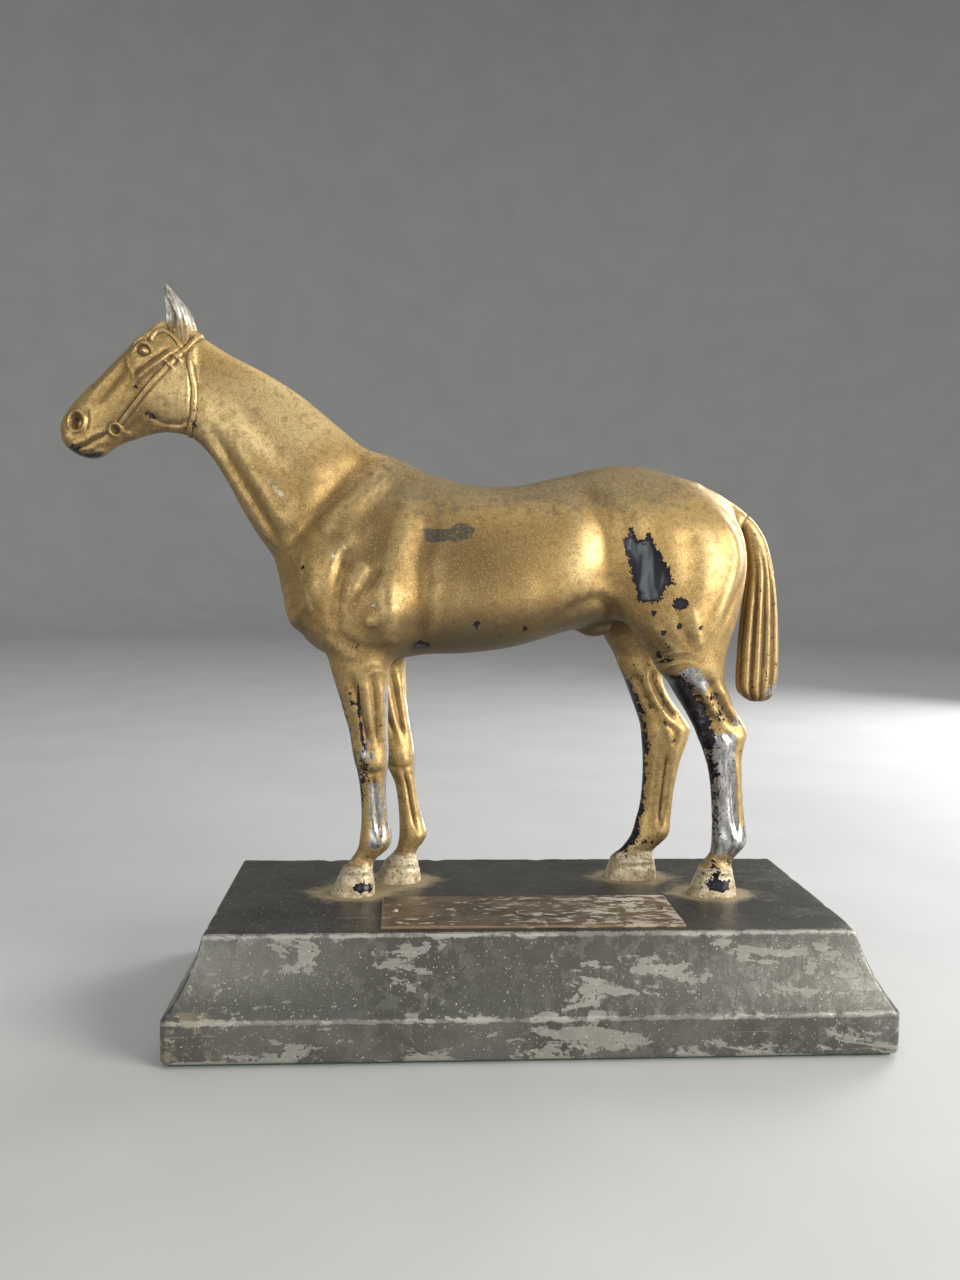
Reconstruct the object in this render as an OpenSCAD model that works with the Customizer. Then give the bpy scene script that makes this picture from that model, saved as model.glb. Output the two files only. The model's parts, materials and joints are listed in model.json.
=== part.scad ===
// Standing horse figurine: hollow horse castings soldered together, held on a
// hollow cove-sided base by a stud, washer and nut under each hoof.
// Frame: +Z up, origin at the centre of the felt's underside, the horse faces -X.

/* [Base] */
// Length of the base along X
base_l = 240; // [220:1:260]
// Width of the base along Y
base_w = 112; // [100:1:130]
// Height of the base's flat top above the table
base_h = 39.5; // [36:0.5:44]
// Height of the square-sided plinth under the cove
plinth_h = 15; // [12:0.5:18]
// Slope of the cove from the vertical at its upper edge, in degrees
cove_top_angle = 10; // [5:1:15]
// Slope of the cove from the vertical at its lower edge, in degrees
cove_foot_angle = 40; // [35:1:45]
// Radius of the plinth's upright corners
corner_r = 2.5; // [1:0.5:4]
// Thickness of the base's top and plinth walls
base_wall = 3.2; // [2.6:0.1:4]

/* [Nameplate] */
// Length of the nameplate along X
plate_l = 102.5; // [80:0.5:106]
// Width of the nameplate along Y
plate_w = 33; // [25:0.5:36]
// Thickness of the nameplate
plate_t = 0.9; // [0.6:0.1:1.5]
// Gap between the nameplate and the front edge of the base's top
plate_margin = 3.4; // [2:0.2:6]
// Distance of each pin from the end of the nameplate
pin_margin = 4.2; // [3:0.2:8]
// Radius of a pin's domed head
pin_head_r = 1.5; // [1:0.1:2.2]

/* [Bottom] */
// Thickness of the felt that the object stands on
felt_t = 1.2; // [0.8:0.1:2]
// Thickness of the board that closes the base
board_t = 2; // [1.5:0.1:3]
// How far the felt stays inside the base's outline
felt_margin = 2.5; // [1:0.5:5]

/* [Fixings] */
// Radius of the stud set in each hoof
stud_r = 1.75; // [1.5:0.05:2]
// Depth of the stud inside the hoof
stud_depth = 7.5; // [6:0.5:9]
// Width of a nut across its flats
nut_af = 8; // [7:0.5:9]
// Thickness of a nut
nut_t = 2.8; // [2:0.1:3.5]
// Outer radius of a washer
washer_r = 4.8; // [4.5:0.1:6]

/* [Horse] */
// Distance of the horse's middle plane behind the base's middle
horse_y = 7.5; // [5:0.5:10]
// Wall thickness of the hollow castings
cast_wall = 3; // [2.5:0.1:3.5]
// Sides of each ring in a casting's skin
skin_sides = 20; // [16:2:28]
// Steps between two stations of a casting's skin
skin_steps = 2; // [1:1:3]

/* [Hidden] */
$fn = 48;

gilt = "goldenrod";
steel = "silver";

// How far a cutting shape runs past what it cuts.
over = 1;
// Sides of a ring in a casting's hollow.
hollow_sides = 14;
// Height of the soles in the stations of the castings below.
sole_z = 39.5;

// The cove is one arc, from the base's top edge down to the plinth's.
cove_h = base_h - plinth_h;
cove_r = cove_h / (sin(cove_foot_angle) - sin(cove_top_angle));
cove_in = cove_r * (cos(cove_top_angle) - cos(cove_foot_angle));
cove_steps = 8;
roof_z = base_h - base_wall;
// Extra thickness of the plinth's wall inside, and the height where it ends.
wall_pad = 1.6;
wall_pad_top = plinth_h - 2;
rim_z = felt_t;
board_gap = 0.1;
board_margin = base_wall + wall_pad + board_gap;
plate_y = -base_w / 2 + cove_in + plate_margin + plate_w / 2;
plate_top = base_h + plate_t;
pin_x = plate_l / 2 - pin_margin;
pin_shank_r = 0.8;
pin_head_h = 0.9;
pin_tail = 1;
pin_steps = 5;
stud_gap = 0.2;
washer_t = 0.8;
stud_tail = 1.2;

// ---- Castings ----
// A station is [top x, top z, bottom x, bottom z, half width, middle y]: the
// ellipse whose long axis runs between two points of the side profile.
function level(z, front, back, half, y) = [front, z, back, z, half, y];

// The same stations on the horse's other side.
function mirrored(list) = [for (s = list) [s[0], s[1], s[2], s[3], s[4], -s[5]]];

trunk = [
    [-88, 158, -87, 147, 5, 0], [-84, 170, -82, 134, 13, 0], [-76, 183, -74, 127.5, 17.5, 0],
    [-65, 195, -63, 124.5, 20.5, 0], [-51, 198.3, -49, 124.5, 21.5, 0], [-37, 193.5, -36, 126.5, 23.5, 0],
    [-22, 189.3, -21, 127.6, 25.5, 0], [-5, 189, -4, 129.8, 27, 0], [11, 191.8, 13, 135.5, 26.5, 0],
    [25, 195.3, 27, 140, 25.5, 0], [38, 197, 39, 142, 26, 0], [51, 194.4, 52, 140, 25, 0],
    [63, 190.2, 65, 140, 21, 0], [73, 185.5, 75, 144, 15, 0], [79.5, 177, 80.5, 154, 8, 0]];
neck = [
    [-116.4, 240.2, -119.2, 202.7, 7, 0], [-108, 234, -115.5, 198.5, 7.5, 0],
    [-95, 227.3, -109, 188.5, 8.6, 0], [-82, 219.3, -103, 178, 10.5, 0], [-70, 209.3, -97, 168.5, 13.5, 0],
    [-58, 201, -90, 158, 17, 0], [-46, 196, -82, 142, 19, 0]];
head = [
    [-116.4, 240.2, -119.2, 202.7, 7, 0], [-123, 243.4, -124, 205.6, 8, 0],
    [-129.5, 245.4, -128.8, 206.3, 8.6, 0],
    [-137, 240.8, -134.3, 205.8, 10.3, 0], [-144, 235.2, -139, 204.8, 9.4, 0],
    [-150, 229, -144, 202.8, 7.8, 0], [-156, 222, -149, 200, 6.4, 0], [-161, 217.3, -153.5, 197.5, 6, 0],
    [-165.3, 211.5, -158.5, 196.7, 5.8, 0], [-167.5, 206, -163.2, 198.5, 3.6, 0]];
ear = [
    [-127.6, 242.5, -119.8, 240.2, 2.6, -5.2], [-129.2, 246.3, -120.8, 245.2, 3.2, -5.8],
    [-129.8, 250.5, -122.7, 249.6, 2.6, -6], [-130, 254, -125.6, 253.2, 1.5, -5.8],
    [-130, 256.8, -129, 256.4, 0.4, -5.6]];
tail = [
    [84, 180.3, 79.4, 176.3, 3.6, 0], [88.8, 175, 82, 170.5, 4.4, 0], [92.6, 167, 83.6, 163.5, 5, 0],
    [95.4, 156, 83.4, 155, 5.4, 0], [96.8, 143, 82.2, 143, 5.7, 0], [97, 130, 81.2, 130, 5.8, 0],
    [96.4, 118, 81.4, 118, 5.4, 0], [95.2, 112.2, 83.4, 112.4, 4.2, 0], [92, 110.2, 87, 110.2, 2, 0]];
dock = [[68, 189, 60, 172, 6.5, 0], [76.5, 184.8, 71, 174.5, 4.8, 0], [84, 180.3, 79.4, 176.3, 3.6, 0]];

// Every leg joins the body on a flat seam: at the elbow in front, at the gaskin behind.
elbow_left = [-70, 121, -49.8, 121, 8, -13.6];
elbow_right = [-63.4, 121, -44, 121, 8, 13.6];
gaskin_left = [45.3, 126, 71.8, 126, 9.8, -15.1];
gaskin_right = [36.8, 126, 58, 126, 9.8, 15.1];
shoulder_left = [
    level(168, -78, -52, 11, -8), level(152, -81, -46, 12, -11), level(138, -77.5, -46, 10.5, -13.5),
    elbow_left];
shoulder_right = [
    level(168, -76, -50, 11, 8), level(152, -78, -44, 12, 11), level(138, -72.5, -43.5, 10.5, 13.5),
    elbow_right];
thigh_left = [
    level(182, 42, 76, 12, -9), level(165, 36, 82.4, 14, -12.5), level(150, 34, 80.5, 13.5, -14.5),
    level(138, 37.5, 76.3, 12, -15.5), level(132, 41, 74, 10.9, -15.4), gaskin_left];
thigh_right = [
    level(182, 40, 74, 12, 9), level(165, 34, 78, 14, 12.5), level(150, 30, 73, 13.5, 14.5),
    level(138, 30.5, 65, 12, 15.5), level(132, 33, 60.5, 10.9, 15.4), gaskin_right];

fore_left = [
    elbow_left, level(115, -68.4, -49.9, 7.3, -12.9), level(108, -66.2, -50, 6.6, -12),
    level(98, -63.7, -50.3, 5.8, -10.8), level(91, -62.5, -50, 5.9, -10),
    level(84, -60.8, -50.9, 5.1, -9.7), level(76, -59.7, -50.7, 4, -9.3), level(67, -59.4, -50, 3.8, -9),
    level(60, -60, -48.9, 4.7, -8.7), level(54.5, -61.8, -51.5, 4.2, -8.5),
    level(51, -64, -54.8, 4.4, -8.3), level(46.5, -67.3, -54.5, 5.6, -8.1),
    level(39.5, -70.5, -54.2, 6.8, -8)];
fore_right = [
    elbow_right, level(113.5, -61, -43.8, 7.3, 12.8), level(105, -58, -43.2, 6.6, 12),
    level(95, -54, -41.4, 5.8, 11), level(88, -52.3, -40.4, 5.9, 10.3), level(81, -49.3, -39.9, 5.1, 9.8),
    level(73, -46.6, -38.9, 4, 9.3), level(64, -45.8, -36.9, 3.8, 9), level(57.5, -45.6, -35.2, 4.7, 8.7),
    level(53, -46.2, -38.2, 4.2, 8.5), level(49.7, -47.6, -39.3, 4.4, 8.4), level(45, -50.8, -38, 5.6, 8.3),
    level(39.5, -54.8, -37.4, 6.8, 8.2)];
hind_left = [
    gaskin_left, level(117, 52.3, 73.4, 8, -14), level(110, 56.3, 76.2, 6.8, -13),
    level(104, 60.3, 80, 6, -12.5), level(99.5, 62.8, 82.3, 5.8, -12), level(93, 65.3, 81.5, 5.5, -12),
    level(84, 68, 81, 4.6, -11.7), level(75, 69.4, 81.2, 4.1, -11.4), level(66, 70, 82.2, 4.2, -11.3),
    level(60, 70.2, 83, 5, -11.2), level(55.5, 69.8, 80.6, 4.6, -11.1), level(51, 66.3, 78.7, 4.6, -11),
    level(46, 63, 79, 5.8, -11), level(39.5, 60.2, 80, 6.8, -11)];
hind_right = [
    gaskin_right, level(117, 40.8, 55.5, 8, 14.3), level(110, 43.6, 58.8, 6.8, 13.5),
    level(104, 46.2, 62.3, 6, 13), level(96.5, 47.8, 67.2, 5.8, 12.5), level(90, 48.2, 65.6, 5.5, 12.2),
    level(81, 48.5, 62.6, 4.6, 12), level(72, 48.1, 61, 4.1, 11.7), level(63, 46.9, 60.4, 4.3, 11.6),
    level(57.5, 45.3, 60.2, 5, 11.5), level(53.5, 43.9, 58, 4.7, 11.4), level(49.5, 40.4, 53.6, 4.7, 11.3),
    level(45, 37, 53.6, 5.8, 11.2), level(39.5, 34.8, 54.2, 6.8, 11.2)];

function blend4(a, b, c, d, t) =
    0.5 * (2 * b + (c - a) * t + (2 * a - 5 * b + 4 * c - d) * t * t + (3 * b - a - 3 * c + d) * t * t * t);

// Stations along a smooth curve through the given ones.
function smooth(list, steps) = let (last = len(list) - 1) concat(
    [for (i = [0:last - 1], j = [0:steps - 1])
        blend4(list[max(i - 1, 0)], list[i], list[i + 1], list[min(i + 2, last)], j / steps)],
    [list[last]]);

function ring(s, n) = [for (k = [0:n - 1]) let (c = cos(360 * k / n), w = sin(360 * k / n))
    [(s[0] + s[2] + (s[0] - s[2]) * c) / 2, s[5] + s[4] * w, (s[1] + s[3] + (s[1] - s[3]) * c) / 2]];

// 1 where the rings run so that the faces need turning round, else 0.
function turned(a, b) =
    (b[0] + b[2] - a[0] - a[2]) * (a[3] - a[1]) + (b[1] + b[3] - a[1] - a[3]) * (a[0] - a[2]) > 0 ? 1 : 0;

function facing(f, turn) = turn == 1 ? [for (i = [len(f) - 1:-1:0]) f[i]] : f;

module skin(list, steps = skin_steps, n = skin_sides) {
    dense = smooth(list, steps);
    last = len(dense) - 1;
    turn = turned(list[0], list[1]);
    sides = [for (i = [0:last - 1], k = [0:n - 1], half = [0, 1])
        let (a = i * n + k, b = i * n + (k + 1) % n)
        half == 0 ? [a, b, a + n] : [b, b + n, a + n]];
    caps = [[for (k = [n - 1:-1:0]) k], [for (k = [0:n - 1]) last * n + k]];
    polyhedron([for (s = dense) each ring(s, n)], [for (f = concat(sides, caps)) facing(f, turn)]);
}

// A station drawn in by the wall, and a casting's hollow between two of its stations.
function inward(s) = let (dx = s[0] - s[2], dz = s[1] - s[3], k = cast_wall / norm([dx, dz]))
    [s[0] - dx * k, s[1] - dz * k, s[2] + dx * k, s[3] + dz * k, s[4] - cast_wall, s[5]];
function hollow(list, from, to) = [for (i = [from:to]) inward(list[i])];

module on_base() {
    translate([0, horse_y, base_h - sole_z]) children();
}

function cove_side(half) = [for (i = [0:cove_steps])
    let (a = cove_top_angle + (cove_foot_angle - cove_top_angle) * i / cove_steps)
    [half - cove_in + cove_r * (cos(cove_top_angle) - cos(a)),
        base_h - cove_r * (sin(a) - sin(cove_top_angle))]];

function outer_profile(half) = let (side = cove_side(half))
    concat(side, [[half, rim_z], [-half, rim_z]], [for (i = [cove_steps:-1:0]) [-side[i][0], side[i][1]]]);

function inner_profile(half) = let (low = half - base_wall - wall_pad, high = low - cove_in)
    [[high, roof_z], [low, wall_pad_top], [low, 0], [-low, 0], [-low, wall_pad_top], [-high, roof_z]];

module along_y(width) rotate([90, 0, 0]) linear_extrude(width, center = true) children();
module along_x(length) rotate([90, 0, 90]) linear_extrude(length, center = true) children();

// A sheet of thickness t from height z, inside the base's outline by margin.
module sheet(margin, z, t) {
    translate([0, 0, z + t / 2]) cube([base_l - 2 * margin, base_w - 2 * margin, t], center = true);
}

module rounded_outline() {
    square([base_l - 2 * corner_r, base_w], center = true);
    square([base_l, base_w - 2 * corner_r], center = true);
    for (x = [-1, 1], y = [-1, 1])
        translate([x * (base_l / 2 - corner_r), y * (base_w / 2 - corner_r)]) circle(corner_r);
}

// A hole of radius r through whatever lies between the heights z and z + t.
module through(z, t, r) {
    translate([0, 0, z - over]) cylinder(h = t + 2 * over, r = r);
}

module base_shell() {
    color("dimgray") difference() {
        intersection() {
            along_y(base_w + over) polygon(outer_profile(base_l / 2));
            along_x(base_l + over) polygon(outer_profile(base_w / 2));
            linear_extrude(base_h + over) rounded_outline();
        }
        intersection() {
            along_y(base_w) polygon(inner_profile(base_l / 2));
            along_x(base_l) polygon(inner_profile(base_w / 2));
        }
        for (leg = legs) at_hoof(leg) through(roof_z, base_wall, stud_r + stud_gap);
        for (side = [-1, 1]) at_pin(side) through(roof_z, base_wall, pin_shank_r);
    }
}

module bottom_board() {
    color("tan") sheet(board_margin, rim_z, board_t);
}

module felt_pad() {
    color("darkgreen") sheet(felt_margin, 0, felt_t);
}

module at_pin(side) {
    translate([side * pin_x, plate_y, 0]) children();
}

module nameplate() {
    color("darkgoldenrod") difference() {
        translate([0, plate_y, base_h + plate_t / 2]) cube([plate_l, plate_w, plate_t], center = true);
        for (side = [-1, 1]) at_pin(side) through(base_h, plate_t, pin_shank_r);
    }
}

// Half of a pin's profile: a shank that ends inside the base, and a domed head on the plate.
function pin_profile() = let (dome_r = (pin_head_r * pin_head_r + pin_head_h * pin_head_h) / (2 * pin_head_h))
    concat([[0, roof_z - pin_tail], [pin_shank_r, roof_z - pin_tail], [pin_shank_r, plate_top]],
        [for (i = [0:pin_steps - 1]) let (x = pin_head_r * (1 - i / pin_steps))
            [x, plate_top + pin_head_h - dome_r + sqrt(dome_r * dome_r - x * x)]],
        [[0, plate_top + pin_head_h]]);

module nameplate_pin(side) {
    color("khaki") at_pin(side) rotate_extrude() polygon(pin_profile());
}

module body_casting() {
    color(gilt) on_base() difference() {
        union() {
            skin(trunk);
            skin(neck);
            skin(shoulder_left);
            skin(shoulder_right);
            skin(thigh_left);
            skin(thigh_right);
            skin(dock);
        }
        skin(hollow(trunk, 2, len(trunk) - 3), 1, hollow_sides);
        skin(concat([neck_mouth], hollow(neck, 1, len(neck) - 2)), 1, hollow_sides);
    }
}

// The neck's hollow runs on past the seam with the head, and the head's runs back past it too.
neck_mouth = inward([-124, 243, -127.8, 208, 7, 0]);
head_mouth = inward([-113, 238.4, -116.4, 201.4, 7, 0]);

module head_casting() {
    color(gilt) on_base() difference() {
        skin(head);
        skin(concat([head_mouth], hollow(head, 1, 5)), 1, hollow_sides);
    }
}

module ear_casting(side) {
    color(gilt) on_base() difference() {
        skin(side < 0 ? ear : mirrored(ear), skin_steps, hollow_sides);
        skin(head);
    }
}

legs = [fore_left, fore_right, hind_left, hind_right];

// The middle of a hoof's sole, where its stud stands.
module at_hoof(list) {
    sole = list[len(list) - 1];
    translate([(sole[0] + sole[2]) / 2, horse_y + sole[5], 0]) children();
}

module leg_casting(list) {
    color(gilt) difference() {
        on_base() skin(list);
        at_hoof(list) translate([0, 0, base_h - over]) cylinder(h = stud_depth + over, r = stud_r);
    }
}

module tail_casting() {
    color(gilt) on_base() skin(tail);
}

module stud(list) {
    stud_foot = roof_z - washer_t - nut_t - stud_tail;
    color(steel) at_hoof(list) translate([0, 0, stud_foot])
        cylinder(h = base_h + stud_depth - stud_foot, r = stud_r);
}

module washer(list) {
    color(steel) at_hoof(list) translate([0, 0, roof_z - washer_t]) difference() {
        cylinder(h = washer_t, r = washer_r);
        through(0, washer_t, stud_r + stud_gap);
    }
}

module nut(list) {
    color(steel) at_hoof(list) translate([0, 0, roof_z - washer_t - nut_t]) difference() {
        cylinder(h = nut_t, r = nut_af / 2 / cos(30), $fn = 6);
        through(0, nut_t, stud_r);
    }
}

base_shell();
bottom_board();
felt_pad();
nameplate();
nameplate_pin(-1);  // nameplate_pin_left
nameplate_pin(1);  // nameplate_pin_right
body_casting();
head_casting();
ear_casting(-1);  // ear_left
ear_casting(1);  // ear_right
leg_casting(fore_left);  // foreleg_left
leg_casting(fore_right);  // foreleg_right
leg_casting(hind_left);  // hindleg_left
leg_casting(hind_right);  // hindleg_right
tail_casting();
stud(fore_left);  // stud_foreleg_left
stud(fore_right);  // stud_foreleg_right
stud(hind_left);  // stud_hindleg_left
stud(hind_right);  // stud_hindleg_right
washer(fore_left);  // washer_foreleg_left
washer(fore_right);  // washer_foreleg_right
washer(hind_left);  // washer_hindleg_left
washer(hind_right);  // washer_hindleg_right
nut(fore_left);  // nut_foreleg_left
nut(fore_right);  // nut_foreleg_right
nut(hind_left);  // nut_hindleg_left
nut(hind_right);  // nut_hindleg_right
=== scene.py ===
import json
import math

import bmesh
import bpy
import numpy as np
from mathutils import Matrix, Vector

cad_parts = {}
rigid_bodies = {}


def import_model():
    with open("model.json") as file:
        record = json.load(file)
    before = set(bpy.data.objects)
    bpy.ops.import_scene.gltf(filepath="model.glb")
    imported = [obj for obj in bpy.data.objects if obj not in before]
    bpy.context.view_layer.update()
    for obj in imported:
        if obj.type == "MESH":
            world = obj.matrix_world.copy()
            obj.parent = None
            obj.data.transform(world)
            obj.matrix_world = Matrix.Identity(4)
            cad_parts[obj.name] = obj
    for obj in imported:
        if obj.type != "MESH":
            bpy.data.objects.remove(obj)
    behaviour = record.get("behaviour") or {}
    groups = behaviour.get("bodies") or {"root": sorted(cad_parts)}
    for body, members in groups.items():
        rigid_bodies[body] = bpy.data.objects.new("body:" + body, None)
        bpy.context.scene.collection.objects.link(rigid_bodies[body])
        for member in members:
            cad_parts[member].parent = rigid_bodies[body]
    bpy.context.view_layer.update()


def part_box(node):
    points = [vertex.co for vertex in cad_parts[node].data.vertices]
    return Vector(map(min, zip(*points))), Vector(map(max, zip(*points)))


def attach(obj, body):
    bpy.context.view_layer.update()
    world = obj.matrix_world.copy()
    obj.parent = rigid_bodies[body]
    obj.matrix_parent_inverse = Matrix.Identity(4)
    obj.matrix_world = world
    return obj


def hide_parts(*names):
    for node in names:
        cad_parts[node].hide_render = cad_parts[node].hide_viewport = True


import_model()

MM = 0.001
DETAIL = 1

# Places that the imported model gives, in millimetres.
BASE_LO, BASE_HI = (np.array(c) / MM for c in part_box("base_shell"))
BODY_LO, BODY_HI = (np.array(c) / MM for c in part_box("body_casting"))
PLATE_LO, PLATE_HI = (np.array(c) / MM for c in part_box("nameplate"))
TOP_Z = BASE_HI[2]
MEDIAN_Y = (BODY_LO[1] + BODY_HI[1]) / 2
# The stations below have the soles at this height, and the horse is moved up or down to the base's top.
SOLE_Z = 39.5
SHIFT = np.array([0, MEDIAN_Y, TOP_Z - SOLE_Z])
# The main camera: its place in millimetres, its turns in radians and its lens.
EYE = (-43.3, -388.6, 158.4)
EYE_TURNS = (0.0677, 0.0657, 0.0145)
LENS = 30.12


# ---------------------------------------------------------------- camera and lights
def camera_at(place, yaw, pitch, roll, lens):
    """A camera that looks along +Y, turned by yaw to the right, pitch down and roll, all in radians."""
    forward = Vector((math.sin(yaw) * math.cos(pitch), math.cos(yaw) * math.cos(pitch), -math.sin(pitch)))
    level = Vector((math.cos(yaw), -math.sin(yaw), 0))
    up = level.cross(forward)
    right = math.cos(roll) * level + math.sin(roll) * up
    above = -math.sin(roll) * level + math.cos(roll) * up
    turn = Matrix((right, above, -forward)).transposed().to_4x4()
    data = bpy.data.cameras.new("camera")
    data.lens = lens
    data.sensor_width = 36
    data.clip_start = 0.01
    camera = bpy.data.objects.new("camera", data)
    camera.matrix_world = Matrix.Translation(Vector(place)) @ turn
    bpy.context.collection.objects.link(camera)
    bpy.context.scene.camera = camera


def area_light(name, place, target, size, power, colour=(1, 1, 1)):
    """A rectangular lamp in metres and watts."""
    data = bpy.data.lights.new(name, "AREA")
    data.shape = "RECTANGLE"
    data.size, data.size_y = size
    data.energy = power
    data.color = colour
    light = bpy.data.objects.new(name, data)
    light.location = place
    light.rotation_euler = (Vector(target) - Vector(place)).to_track_quat("-Z", "Y").to_euler()
    bpy.context.collection.objects.link(light)


camera_at([v * MM for v in EYE], *EYE_TURNS, LENS)
area_light("key", (0.85, -0.62, 0.42), (0, 0, 0.13), (0.6, 0.6), 14.8, (1, 0.98, 0.95))
area_light("rim", (0.75, 0.62, 0.45), (0, 0, 0.12), (0.4, 0.7), 8.0, (0.96, 0.98, 1))
area_light("fill", (-0.6, -0.9, 0.35), (0, 0, 0.13), (0.7, 0.7), 3.3)
area_light("overhead", (0, 0.3, 2.2), (0, 0.2, 0), (2.2, 2.2), 18.5)
world = bpy.data.worlds.new("studio")
world.use_nodes = True
world.node_tree.nodes["Background"].inputs["Color"].default_value = (0.75, 0.77, 0.8, 1)
world.node_tree.nodes["Background"].inputs["Strength"].default_value = 0.36
bpy.context.scene.world = world
bpy.context.scene.view_settings.view_transform = "Standard"


# ---------------------------------------------------------------- field tools
class Grid:
    """A block of sample points between two corners, in millimetres."""

    def __init__(self, lo, hi, step):
        self.step = step
        self.lo = np.array(lo, float)
        self.size = [int(math.ceil((b - a) / step)) + 1 for a, b in zip(lo, hi, strict=True)]
        self.place()

    def place(self):
        x, y, z = (self.lo[i] + self.step * np.arange(self.size[i]) for i in range(3))
        self.x2, self.z2 = np.meshgrid(x, z, indexing="ij")
        self.y = y
        self.x3, self.y3, self.z3 = x[:, None, None], y[None, :, None], z[None, None, :]

    def part(self, lo, hi):
        """The slices and the grid of the samples between two corners, or None where there are none."""
        first = [max(0, int((a - b) / self.step)) for a, b in zip(lo, self.lo, strict=True)]
        last = [min(n, int((a - b) / self.step) + 2)
                for a, b, n in zip(hi, self.lo, self.size, strict=True)]
        if any(b - a < 2 for a, b in zip(first, last, strict=True)):
            return None
        inner = Grid.__new__(Grid)
        inner.step = self.step
        inner.lo = self.lo + self.step * np.array(first)
        inner.size = [b - a for a, b in zip(first, last, strict=True)]
        inner.place()
        return tuple(slice(a, b) for a, b in zip(first, last, strict=True)), inner


def smooth(stations, steps):
    """Rows along a Catmull-Rom curve through the given rows."""
    rows = np.array(stations, float)
    padded = np.vstack([rows[:1], rows, rows[-1:]])
    out = []
    for i in range(len(rows) - 1):
        a, b, c, d = padded[i:i + 4]
        for t in np.arange(steps) / steps:
            out.append(0.5 * (2 * b + (c - a) * t + (2 * a - 5 * b + 4 * c - d) * t**2
                              + (3 * b - a - 3 * c + d) * t**3))
    out.append(rows[-1])
    return np.array(out)


def ease(t):
    """A share from 0 to 1 with its ends made smooth."""
    return t * t * (3 - 2 * t)


def side_map(grid, stations, steps=6):
    """For each (x, z): the nearest station's numbers, how far up it the point is (-1 to 1), its half length
    and how far the point lies past the ends."""
    rows = smooth(stations, steps)
    top, bottom = rows[:, :2], rows[:, 2:4]
    shape = grid.x2.shape
    best = np.full(shape, np.inf)
    level = np.zeros(shape)
    numbers = np.zeros(shape + (rows.shape[1],))
    px, pz = grid.x2, grid.z2

    def crossing(i):
        (tx, tz), (bx, bz) = top[i], bottom[i]
        length = math.hypot(tx - bx, tz - bz) + 1e-9
        return ((tx - bx) * (pz - bz) - (tz - bz) * (px - bx)) / length

    last = len(rows) - 1
    here = crossing(0)
    first_side = here.copy()
    for i in range(last):
        there = crossing(i + 1)
        hit = here * there <= 0
        share = np.clip(np.where(hit, here / (here - there + 1e-12), 0), 0, 1)
        row = rows[i] + (rows[i + 1] - rows[i]) * share[..., None]
        height = height_on(row, px, pz)
        take = hit & (np.abs(height) < best)
        best[take] = np.abs(height)[take]
        level[take] = height[take]
        numbers[take] = row[take]
        here = there
    missed = np.isinf(best)
    near_start = missed & (np.abs(first_side) < np.abs(here))
    for mask, row in ((near_start, rows[0]), (missed & ~near_start, rows[last])):
        numbers[mask] = row
        level[mask] = height_on(numbers, px, pz)[mask]
    ends = np.where(missed, np.minimum(np.abs(first_side), np.abs(here)), 0)
    half = np.hypot(numbers[..., 0] - numbers[..., 2], numbers[..., 1] - numbers[..., 3]) / 2
    return numbers, level, half, ends


def height_on(row, px, pz):
    """How far up a station's line the points lie: -1 at its foot, 1 at its head."""
    dx, dz = row[..., 0] - row[..., 2], row[..., 1] - row[..., 3]
    cx, cz = (row[..., 0] + row[..., 2]) / 2, (row[..., 1] + row[..., 3]) / 2
    return 2 * ((px - cx) * dx + (pz - cz) * dz) / (dx * dx + dz * dz + 1e-9)


def loft(grid, stations, steps=6, ripple=None):
    """Distance to a body of stations [top x, top z, foot x, foot z, half width, middle y, egg, power]."""
    numbers, level, half, ends = side_map(grid, stations, steps)
    level = np.clip(level, -3, 3)[:, None, :]
    egg = 1 + numbers[..., 6][:, None, :] * np.clip(level, -1, 1)
    width = np.maximum(numbers[..., 4][:, None, :] * egg, 0.05)
    power = numbers[..., 7][:, None, :]
    half = np.maximum(half[:, None, :], 0.05)
    across = np.abs(grid.y3 - numbers[..., 5][:, None, :]) / width
    along = np.abs(level)
    total = np.maximum((across**power + along**power) ** (1 / power), 1e-3)
    slope = np.hypot((across / total) ** (power - 1) / width, (along / total) ** (power - 1) / half)
    distance = (total - 1) / np.maximum(slope, 1e-6)
    distance = np.maximum(distance, -np.minimum(width, half))
    if ripple is not None:
        distance = distance + ripple(across, level, grid)
    ends = ends[:, None, :]
    return np.where(ends > 0, np.hypot(np.maximum(distance, 0), ends), distance)


def ball(grid, centre, radii):
    """Distance to an ellipsoid, close to its surface."""
    parts = [(a - c) / r for a, c, r in zip((grid.x3, grid.y3, grid.z3), centre, radii, strict=True)]
    total = np.sqrt(parts[0] ** 2 + parts[1] ** 2 + parts[2] ** 2) + 1e-6
    slope = np.sqrt(sum((p / r) ** 2 for p, r in zip(parts, radii, strict=True))) / total + 1e-6
    return (total - 1) / slope


def join(a, b, blend):
    """Smooth union of two fields."""
    h = np.maximum(blend - np.abs(a - b), 0) / blend
    return np.minimum(a, b) - h * h * blend / 4


def carve(a, b, blend):
    """a without b, with a smooth edge."""
    return -join(-a, b, blend)


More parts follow.
